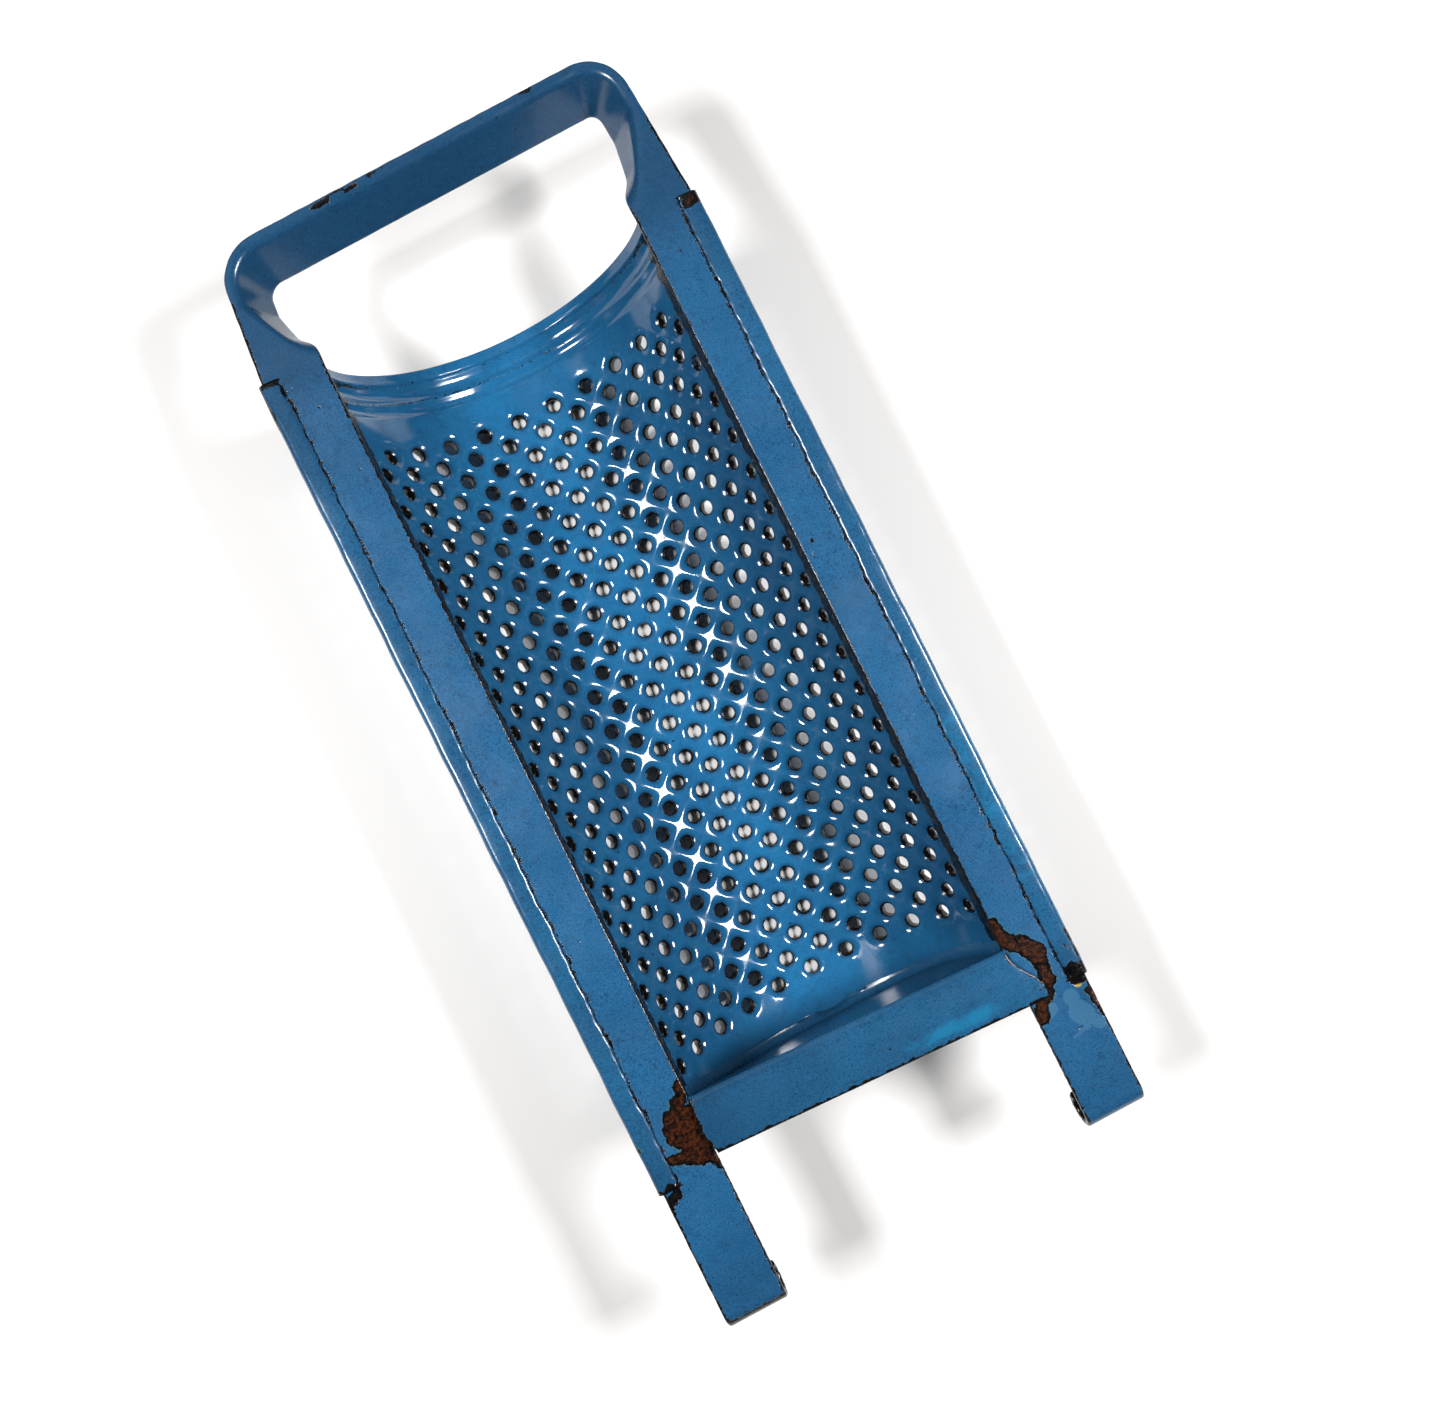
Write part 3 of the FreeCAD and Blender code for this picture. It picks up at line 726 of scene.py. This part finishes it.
def build_strip():
    rows = strip_stations()
    a, b = strip_outline(STRIP_WIDTH, 0.75, 20)
    fine = np.linspace(-1.0, STRIP_WIDTH + 1.0, 121)
    points = np.zeros((len(rows), len(a), 3))
    for index, (x, y, z, angle, roll, run) in enumerate(rows):
        inward = np.array([-math.cos(angle), -math.sin(angle), 0.0])
        ledge = STRIP_WIDTH + (GRIP_LEDGE - STRIP_WIDTH) * min(1.0, run / FOLD_RUN) ** 0.85
        fold = GRIP_FOLD * smooth(run / FOLD_START)
        dip = fold * smooth((fine - ledge) / FOLD_SOFTNESS + 0.5)
        step = fine[1] - fine[0]
        along = running_sum(0.5 * (np.cos(dip[1:]) + np.cos(dip[:-1])) * step) + fine[0]
        down = running_sum(0.5 * (np.sin(dip[1:]) + np.sin(dip[:-1])) * step)
        local_dip = np.interp(a, fine, dip)
        reach = np.interp(a, fine, along) + b * np.sin(local_dip)
        height = -np.interp(a, fine, down) + b * np.cos(local_dip)
        if roll:
            normal = np.array([0.0, -math.sin(roll), math.cos(roll)])
            points[index] = (np.array([x, y, z]) + inward * reach[:, None] + normal * b[:, None])
        else:
            points[index] = (np.array([x, y, z]) + inward * reach[:, None]
                             + np.array([0, 0, 1.0]) * height[:, None])
    distance = running_sum(np.linalg.norm(np.diff(rows[:, :3], axis=0), axis=1))
    uneven = 0.07 * waves(distance, (47, 23, 11), 31)[:, None] * np.ones(len(a))
    belly = np.sin(np.clip(a / STRIP_WIDTH, 0, 1) * math.pi)
    dished = 0.10 * waves(distance, (90, 38), 32)[:, None] * belly
    points[:, :, 2] += np.where(rows[:, 4:5] == 0, uneven + dished - 0.05, 0)
    edge_in = np.exp(-((a - STRIP_WIDTH) / 0.9) ** 2)[None, :]
    edge_out = np.exp(-(a / 0.9) ** 2)[None, :]
    bead = 0.09 * waves(distance, (3.1, 1.9, 1.3), 33)[:, None]
    inward = np.stack([-np.cos(rows[:, 3]), -np.sin(rows[:, 3]), np.zeros(len(rows))], 1)
    flat = (rows[:, 5] < 0.5)[:, None]
    outer_waver = 0.05 * waves(distance, (8, 5), 34)[:, None] * edge_out
    push = np.where(flat, bead * edge_in, 0.0) - outer_waver
    points += inward[:, None, :] * push[:, :, None]
    ids = np.arange(len(rows) * len(a)).reshape(len(rows), len(a))
    faces = [grid_faces(ids, close_columns=True)]
    flat_points = points.reshape(-1, 3)
    caps = []
    for end, flip in ((0, False), (len(rows) - 1, True)):
        centre = len(flat_points)
        flat_points = np.vstack([flat_points, points[end].mean(0)])
        ring = ids[end]
        fan = np.stack([np.full(len(a), centre), np.roll(ring, -1), ring], 1)
        caps.append(fan if flip else fan[:, ::-1])
    faces += caps

    across = np.concatenate([np.tile(a, len(rows)), [0, 0]])
    below = np.concatenate([np.tile(b, len(rows)), [-1, -1]])
    grown = smooth(np.concatenate([np.repeat(rows[:, 5], len(a)), [0, 0]]) / FOLD_RUN)
    rolled = np.concatenate([np.repeat(rows[:, 4], len(a)), [4, 4]])
    x, y = flat_points[:, 0], flat_points[:, 1]
    side = np.sign(x)
    top = below > -0.5
    from_in = np.where(top, STRIP_WIDTH - across, np.where(across > STRIP_WIDTH / 2, 0, 9))
    from_out = np.where(top, across, np.where(across < STRIP_WIDTH / 2, 0, 9))
    long_y = np.concatenate([np.repeat(distance, len(a)), [0, 0]])
    on_foot = y < -HEM_END
    on_rail = (y >= -HEM_END) & (y <= RAIL_TOP + 2)
    handle_width = 0.35 * (1 - smooth(grown / 0.5)) - 0.30 * grown
    in_width = np.where(on_rail, 0.55, np.where(on_foot, 0.50, handle_width))
    in_width = in_width + 0.22 * waves(long_y, (9, 4, 2.1), 71)
    out_width = np.where(on_foot, 0.65, np.where(y < RAIL_TOP + 23, 0.80, -0.10))
    out_width = out_width + 0.25 * waves(long_y, (13, 6, 3), 72)
    foot_width = np.where(on_foot & top, 0.6 + 0.2 * waves(x, (5, 2.3), 74), -9)
    worn_foot = nearness(y + FOOT_END, foot_width)
    worn = np.maximum(nearness(from_in, in_width), nearness(from_out, out_width))
    worn = np.maximum(worn, np.clip(worn_foot, 0, 1))
    worn = np.maximum(worn, 0.62 * smooth((rolled - 1.0) / 0.8))
    worn = np.maximum(worn, np.where(~top, 0.42, 0))
    hem = np.where(side > 0, flap_edge(y, 1), flap_edge(y, -1))
    at_hem = on_rail & (y < RAIL_TOP) & top
    to_hem = nearness(np.abs(np.abs(x) - hem + 0.1), 0.28 + 0.2 * waves(y, (23, 9, 4), 73))
    seam = np.where(at_hem, to_hem, 0)
    front = below > -1.0
    chip = strokes(flat_points, front, *STRIP_CHIPS)
    rust = strokes(flat_points, front, *STRIP_RUST)
    pale = strokes(flat_points, front, *STRIP_PALE)
    brass = strokes(flat_points, front, *STRIP_BRASS)
    # painted sheen: a bright cyan patch on the right rail beside the band's end
    glow = 0.62 * np.exp(-((x - 52) / 3) ** 2 - ((y + 103) / 10) ** 2) * (y < -96)
    # painted shade, partly the enamel's own greyer tone: greyer and darker along the handle and
    # darker at the feet, where less light falls; then a darker spot on the front near the right
    # foot
    tone = 0.42 * smooth((y - 96) / 16) + 0.22 * smooth((-118 - y) / 26)
    tone = tone + 0.10 * smooth((y - 40) / 60)
    tone = tone + 0.35 * np.exp(-((x - 57.0) / 3.0) ** 2 - ((y + 120) / 4.5) ** 2) * front
    marks = {"worn": worn, "seam": seam, "chip": chip, "rust": rust, "pale": pale, "glow": glow,
             "brass": brass, "tone": tone}
    return flat_points, faces, marks


# ----------------------------------------------------------------- the hems

# chips and rust on each hem, as strokes
HEM_MARKS = {
    1: (((57.5, -104, 58.5, -105.5, 0.4), (60.0, -101, 60.3, -108, 0.5),
         (56.5, 106.5, 60.0, 107.0, 1.6)),
        ((57.0, 106.8, 59.0, 107.2, 0.5), (57.2, -112.3, 59.0, -112.6, 0.3))),
    -1: (((-55.4, 104.5, -55.2, 108.5, 0.3), (-60.2, 98, -60.2, 108, 0.3)),
         ((-60.2, -100, -60.2, -100.5, 0.1),)),
}


def build_hem(side):
    """The sheet's edge, folded round the rail: a C section swept along Y."""
    low, high = FRONT - STRIP_THICK, FRONT
    levels = np.concatenate([np.arange(-HEM_END, RAIL_TOP, 0.8), [RAIL_TOP]])
    sections = []
    for y in levels:
        flap = float(flap_edge(y, side))
        end_in = min(y + HEM_END, RAIL_TOP - y)
        ragged = 0.9 * math.exp(-max(end_in, 0) / 1.2)
        outer = HEM_HIGH[0] + 0.12 * float(waves(y, (60, 28, 12), 41 + side))
        flap += ragged * float(waves(y, (2.3,), 43))
        top = HEM_HIGH[2] - 0.02 + 0.08 * float(waves(y, (37, 15, 7), 45 + side))
        ring = [(flap, high + 0.03), (flap + 0.12, high + 0.32), (flap + 0.45, high + 0.62),
                (flap + 1.0, high + 0.80), (flap + 1.9, top)]
        for t in np.linspace(0.15, 0.85, 4):
            ring.append((flap + 1.9 + (outer - 1.75 - flap - 1.9) * t,
                         top + 0.04 * math.sin(math.pi * t)))
        bend = 1.7
        under = low - SHEET_THICK
        for step in range(0, 9):
            turn = math.radians(90 - 90 * step / 8)
            ring.append((outer - bend + bend * math.cos(turn), top - bend + bend * math.sin(turn)))
        for step in range(1, 7):
            turn = math.radians(-90 * step / 6)
            ring.append((outer - 1.2 + 1.2 * math.cos(turn), under + 1.2 + 1.2 * math.sin(turn)))
        for share in (0.25, 0.5, 0.75):
            ring.append((outer - 1.2 + (47.4 - outer + 1.2) * share, under))
        for step in range(0, 7):
            turn = math.radians(90 + 78 * step / 6)
            ring.append((47.4 + 2.0 * math.cos(turn), under - 2.0 + 2.0 * math.sin(turn)))
        ring += [(44.9, under - 1.2), (44.75, low - 0.02), (50, low - 0.02),
                 (STRIP_OUTER + 0.03, low - 0.02), (STRIP_OUTER + 0.03, high + 0.02),
                 (flap + 2.0, high + 0.02)]
        sections.append([(side * px, y, pz) for px, pz in ring])
    points = np.array(sections)
    if side < 0:
        points[-3:, :, 1] += np.array([0.2, 0.6, 1.0])[:, None]
    count = points.shape[1]
    ids = np.arange(points.shape[0] * count).reshape(-1, count)
    grid = grid_faces(ids, close_columns=True)
    faces = [grid if side < 0 else grid[:, ::-1]]
    flat = points.reshape(-1, 3)
    for end, flip in ((0, side > 0), (len(levels) - 1, side < 0)):
        faces.append(cap_c(ids[end], flip))
    x, y, z = flat.T
    flap = flap_edge(y, side)
    up = z > high - 0.3
    from_foot, from_top = y + HEM_END, RAIL_TOP - y
    flap_gap = np.abs(np.abs(x) - flap)
    worn = np.where(up, nearness(flap_gap, 0.20 + 0.25 * waves(y, (19, 8, 3.5), 81)), 0)
    burnt = 1.2 + 0.8 * waves(np.abs(x), (5, 2.5), 82) + (2.6 if side > 0 else 0.2)
    worn = np.maximum(worn, nearness(from_foot, burnt))
    worn = np.maximum(worn, nearness(from_top, 1.0 if side > 0 else 0.3))
    worn = np.maximum(worn, np.where(z < low, 0.40, 0))
    to_corner = np.hypot(np.abs(x) - HEM_HIGH[0], z - FRONT + 0.3)
    outer = nearness(to_corner, -0.2 + 0.5 * waves(y, (27, 12, 5), 83))
    bare_from = 55 if side > 0 else 82
    worn = np.maximum(worn, np.where((np.abs(x) > 59.4) & (y > bare_from), outer, 0))
    seam = np.where(up, nearness(flap_gap, 0.05 + 0.2 * waves(y, (31, 12, 5), 84)), 0)
    zero = np.zeros(len(x))
    chips, rusts = HEM_MARKS[side]
    chip = strokes(flat, up, *chips)
    rust = strokes(flat, up, *rusts)
    # painted shade: darker towards the handle end and the feet, where less light falls; the left
    # hem a little darker overall
    tone = 0.30 * smooth((y - 70) / 30) + 0.25 * smooth((-100 - y) / 8)
    tone = tone + (0.10 if side < 0 else 0.0)
    # painted sheen: bright cyan along the middle of the right hem
    glow = 0.66 * np.exp(-((y + 60) / 38) ** 2) * up if side > 0 else zero
    marks = {"worn": worn, "seam": seam, "chip": chip, "rust": rust, "pale": zero, "glow": glow,
             "brass": zero, "tone": tone}
    return flat, faces, marks


def cap_c(ring, flip):
    """Closes the end of a hem: the ring's outer wall is joined to its inner one."""
    outer = list(ring[:-5])
    inner = [ring[0]] + list(ring[:-7:-1])
    steps = max(len(outer), len(inner)) - 1

    def spread(wall):
        return [wall[round(i * (len(wall) - 1) / steps)] for i in range(steps + 1)]

    pairs = list(zip(spread(outer), spread(inner)))
    tris = []
    for (a, b), (c, d) in zip(pairs, pairs[1:]):
        loop = list(dict.fromkeys((a, c, d, b)))
        tris += [(loop[0], loop[i], loop[i + 1]) for i in range(1, len(loop) - 1)]
    tris = np.array(tris)
    return tris[:, ::-1] if flip else tris


# --------------------------------------------------------------- end plate

WALL_ROWS, RIDGE_ROWS = 34, 9


def build_plate():
    """Leaning wall that closes the arch, its ridge and the cross band over the rails."""
    lines = []
    for kind, first, count in (("wall", 0, WALL_ROWS), ("ridge", 0.12, RIDGE_ROWS),
                               ("band", 0.06, 18), ("roll", 0.2, 6)):
        lines += [(kind, t) for t in np.linspace(first, 1, count)]
    u = np.linspace(-1, 1, 121)
    u = np.sign(u) * (1 - (1 - np.abs(u)) ** 1.15)
    top = FRONT + SHEET_THICK
    ridge = 1.6
    rows = []
    for kind, t in lines:
        if kind == "wall":
            z_low = FRONT - CROWN_DEPTH + 0.2
            level = z_low + (top - ridge - z_low) * t
            reach = math.sqrt(max(ARCH_RADIUS ** 2 - (ARCH_AXIS - level) ** 2, 4.0))
            wide = reach + 0.25 if level < FRONT - STRIP_THICK else RAIL_INNER - 0.05
            x = u * wide
            y = -PLATE_TOP - (top - level) * math.tan(PLATE_LEAN)
            y = y + 0.6 * np.cos(x / 45 * math.pi / 2) * math.sin(math.pi * t)
            gap = np.clip(ARCH_RADIUS - np.hypot(x, ARCH_AXIS - level), 0, FILLET)
            y = y + FILLET - np.sqrt(FILLET ** 2 - (FILLET - gap) ** 2)
            y = y + x * BAND_SLANT * smooth((t - 0.3) / 0.7)
            z = level + 0 * x
        elif kind == "ridge":
            turn = (math.pi / 2 - PLATE_LEAN) * t + PLATE_LEAN
            wide = RAIL_INNER + 0.3
            x = u * wide
            y = -PLATE_TOP - ridge * (1 - math.cos(turn - PLATE_LEAN * (1 - t))) + x * BAND_SLANT
            z = top - ridge + ridge * math.sin(turn) + 0 * x
        else:
            share = t if kind == "band" else 1.0
            right = 43.5 + 5.6 * smooth(share * 1.15)
            left = 43.5 + 0.5 * math.sin(3 * share) - 0.8 * smooth((share - 0.7) / 0.3)
            x = np.where(u > 0, u * right, u * left)
            y = -PLATE_TOP - ridge - (BAND_WIDTH - ridge - 0.6) * share + x * BAND_SLANT
            if kind == "band":
                z = top + 0.42 * math.sin(math.pi * min(1, t * 1.02)) * (1 - 0.3 * np.abs(u))
            else:
                turn = math.pi / 2 * t
                y = y - 0.7 * math.sin(turn)
                z = top - 0.85 * (1 - math.cos(turn)) + 0 * x
        rows.append(np.stack([x, y, z], 1))
    front = np.array(rows)
    # the band is pressed a little lower where its ends lie over the rails
    over = smooth((np.abs(front[:, :, 0]) - RAIL_INNER - 0.5) / 2.0)
    high = front[:, :, 2] > FRONT
    front[:, :, 2] -= np.where(high, over * 0.25, 0)
    front[:, :, 2] += np.where(high, 0.07 * swell(front[:, :, 0], front[:, :, 1], (21, 12), 51), 0)
    along = np.gradient(front, axis=0)
    sideways = np.gradient(front, axis=1)
    normal = np.cross(sideways, along)
    normal /= np.maximum(np.linalg.norm(normal, axis=2, keepdims=True), 1e-9)
    if normal[-10, 60, 2] < 0:
        normal = -normal
    back = front - normal * 0.8
    above_rails = np.maximum(back[:, :, 2], FRONT + 0.02)
    back[:, :, 2] = np.where(front[:, :, 2] > FRONT + 0.1, above_rails, back[:, :, 2])
    rows_n, cols_n = front.shape[:2]
    ids = np.arange(rows_n * cols_n).reshape(rows_n, cols_n)
    faces = [grid_faces(ids), grid_faces(ids + ids.size)[:, ::-1]]
    border = np.concatenate([ids[0], ids[1:, -1], ids[-1, -2::-1], ids[-2:0:-1, 0]])
    faces.append(grid_faces(np.stack([border, border + ids.size]), close_columns=True)[:, ::-1])
    points = np.concatenate([front.reshape(-1, 3), back.reshape(-1, 3)])
    part = np.tile(np.repeat(np.arange(rows_n), cols_n), 2)
    along_u = np.tile(np.tile(u, rows_n), 2)
    x, y, z = points.T
    wall = part < WALL_ROWS
    band = part >= WALL_ROWS + RIDGE_ROWS
    to_end = np.where(along_u > 0, 1 - along_u, 1 + along_u) * 45
    worn = np.where(part >= 38, nearness(to_end, 0.5 + 0.4 * waves(y, (5, 2.4), 91)), 0)
    low_edge = -PLATE_TOP - BAND_WIDTH + x * BAND_SLANT
    edge_width = 0.75 + 0.40 * waves(x, (14, 6, 3), 92)
    worn = np.maximum(worn, np.where(band, nearness(y - low_edge, edge_width), 0))
    rust = strokes(points, part >= WALL_ROWS + 2,
                   (-44.5, -94.8, -46.0, -97.5, 0.3), (43.6, -96.8, 48.8, -106.0, 0.1))
    chip = strokes(points, band,
                   (35.5, -98.6, 35.7, -98.6, 0.5), (47.0, -111.5, 48.8, -109.5, 0.3))
    chip = np.maximum(chip, np.where(wall, nearness(43.2 - np.abs(x) + FRONT - z, 1.2), 0))
    # painted sheen: a bright cyan patch on the band's lower right, where its curve catches the
    # light
    sheen_patch = 0.95 * np.exp(-((x - 26) / 19) ** 2 - ((y - low_edge - 3.6) / 2.7) ** 2)
    glow = np.where(band, sheen_patch, 0)
    # painted shade on the end wall; the band is darker towards its left end and along the ridge
    tone = np.where(wall, 0.45, 0.10 + 0.32 * smooth((6 - x) / 50))
    tone = tone + 0.15 * smooth((part - 36) / 3) * smooth((44 - part) / 3)
    zero = np.zeros(len(x))
    marks = {"worn": worn, "seam": zero, "chip": chip, "rust": rust, "pale": zero, "glow": glow,
             "brass": zero, "tone": tone}
    return points, faces, marks


frame_enamel = make_enamel(
    "frame_enamel", deep=(0.0055, 0.022, 0.052), middle=(0.0125, 0.076, 0.172),
    bright=(0.0140, 0.092, 0.205), speckle=0.85, gloss=0.20, peel=0.30)
sheet_enamel = make_enamel(
    "sheet_enamel", deep=(0.0060, 0.030, 0.072), middle=(0.0115, 0.090, 0.205),
    bright=(0.0140, 0.125, 0.275), speckle=0.40, gloss=0.07, peel=0.12)
trim_enamel = make_enamel(
    "trim_enamel", deep=(0.0060, 0.024, 0.056), middle=(0.0130, 0.074, 0.160),
    bright=(0.0145, 0.094, 0.200), speckle=0.80, gloss=0.16, peel=0.30)

make_piece("punched_sheet", *build_sheet(), sheet_enamel, "sheet_enamel", ["grating_sheet"])
make_piece("bent_strip", *build_strip(), frame_enamel, "frame_enamel",
           ["handle", "left_rail", "right_rail"])
make_piece("folded_hem_left", *build_hem(-1), trim_enamel, "sheet_enamel", ["left_hem"])
make_piece("folded_hem_right", *build_hem(1), trim_enamel, "sheet_enamel", ["right_hem"])
make_piece("closing_plate", *build_plate(), trim_enamel, "sheet_enamel", ["end_plate"])


# --------------------------------------------------- floor, light and camera

def make_floor():
    """Pale floor, which glows a little far away where the soft boxes don't reach."""
    n = Nodes("studio_floor")
    tone = n.mix(n.noise(6, 2), (0.78, 0.765, 0.75), (0.80, 0.785, 0.77))
    shader = n.surface(tone, 0.6, n.noise(60, 2), 0.0001)
    away = n.new("ShaderNodeVectorMath", operation="LENGTH")
    n.put(away.inputs[0], n.place)
    n.put(shader.inputs["Emission Color"], (1.0, 0.99, 0.98))
    n.put(shader.inputs["Emission Strength"],
          n.step(away.outputs["Value"], 0.30, 1.0, 0.0, 0.75))
    mesh = bpy.data.meshes.new("floor")
    size = 6.0
    mesh.from_pydata([(-size, -size, 0), (size, -size, 0), (size, size, 0), (-size, size, 0)],
                     [], [(0, 1, 2, 3)])
    mesh.materials.append(n.material)
    floor = bpy.data.objects.new("floor", mesh)
    bpy.context.scene.collection.objects.link(floor)


def soft_box(name, place, target, width, length, power):
    """Rectangular studio light whose long side runs along the object."""
    data = bpy.data.lights.new(name, "AREA")
    data.shape = "RECTANGLE"
    data.size, data.size_y = width * MM, length * MM
    data.energy = power
    light = bpy.data.objects.new(name, data)
    bpy.context.scene.collection.objects.link(light)
    back = (Vector(place) - Vector(target)).normalized()
    side = Vector((0, 1, 0)).cross(back).normalized()
    turn = Matrix((side, back.cross(side), back)).transposed()
    light.matrix_world = Matrix.Translation(Vector(place) * MM) @ turn.to_4x4()
    return light


def make_world():
    """Dim surroundings, lighter beyond the handle, with a plain pale backdrop in view."""
    world = bpy.data.worlds.new("studio")
    world.use_nodes = True
    tree = world.node_tree
    tree.nodes.clear()
    new, link = tree.nodes.new, tree.links.new
    direction = new("ShaderNodeTexCoord").outputs["Generated"]
    toward = new("ShaderNodeVectorMath")
    toward.operation = "DOT_PRODUCT"
    toward.inputs[1].default_value = Vector((-0.05, 0.60, 0.80)).normalized()
    link(direction, toward.inputs[0])
    ramp = new("ShaderNodeMapRange")
    ramp.interpolation_type = "SMOOTHSTEP"
    for key, value in (("From Min", 0.88), ("From Max", 0.99), ("To Min", 0.0), ("To Max", 0.40)):
        ramp.inputs[key].default_value = value
    link(toward.outputs["Value"], ramp.inputs["Value"])
    parts = new("ShaderNodeSeparateXYZ")
    link(direction, parts.inputs[0])
    height = new("ShaderNodeValToRGB")
    stops = height.color_ramp.elements
    stops[0].position, stops[1].position = 0.15, 0.86
    stops.new(0.45)
    for stop, level in zip(stops, (0.0, 0.06, 0.0)):
        stop.color = (level, level, level, 1)
    link(parts.outputs["Z"], height.inputs[0])
    both = new("ShaderNodeMath")
    link(ramp.outputs["Result"], both.inputs[0])
    link(height.outputs["Color"], both.inputs[1])
    seen = new("ShaderNodeLightPath").outputs["Is Camera Ray"]
    pick = new("ShaderNodeMix")
    pick.data_type = "FLOAT"
    link(seen, pick.inputs[0])
    link(both.outputs[0], pick.inputs[2])
    pick.inputs[3].default_value = 0.9
    background = new("ShaderNodeBackground")
    background.inputs["Color"].default_value = (0.93, 0.96, 1.0, 1)
    link(pick.outputs[0], background.inputs["Strength"])
    link(background.outputs[0], new("ShaderNodeOutputWorld").inputs["Surface"])
    bpy.context.scene.world = world


def make_lights():
    middle = (0, 0, FRONT)
    soft_box("left_softbox", (-390, 109, FRONT + 500), middle, width=130, length=210, power=5.2)
    soft_box("right_softbox", (455, -88, FRONT + 500), middle, width=150, length=200, power=5.6)
    bpy.context.scene.view_settings.view_transform = "Standard"


CAMERA_ABOVE_RAILS = 297.2
CAMERA_X, CAMERA_Y = -12.78, -15.65
CAMERA_LENS = 29.59


def make_camera():
    """Camera nearly square on to the rails, turned so that the handle is at the upper left."""
    right = Vector((0.8929, -0.4468, 0.0555))
    back = Vector((-0.0677, -0.0114, 0.9976)).normalized()
    up = back.cross(right).normalized()
    right = up.cross(back)
    data = bpy.data.cameras.new("camera")
    data.sensor_fit = "HORIZONTAL"
    data.sensor_width = 36.0
    data.lens = CAMERA_LENS
    data.clip_start, data.clip_end = 0.01, 20.0
    camera = bpy.data.objects.new("camera", data)
    bpy.context.scene.collection.objects.link(camera)
    turn = Matrix((right, up, back)).transposed()
    place = Vector((CAMERA_X, CAMERA_Y, FRONT + CAMERA_ABOVE_RAILS)) * MM
    camera.matrix_world = Matrix.Translation(place) @ turn.to_4x4()
    bpy.context.scene.camera = camera


make_floor()
make_world()
make_lights()
make_camera()
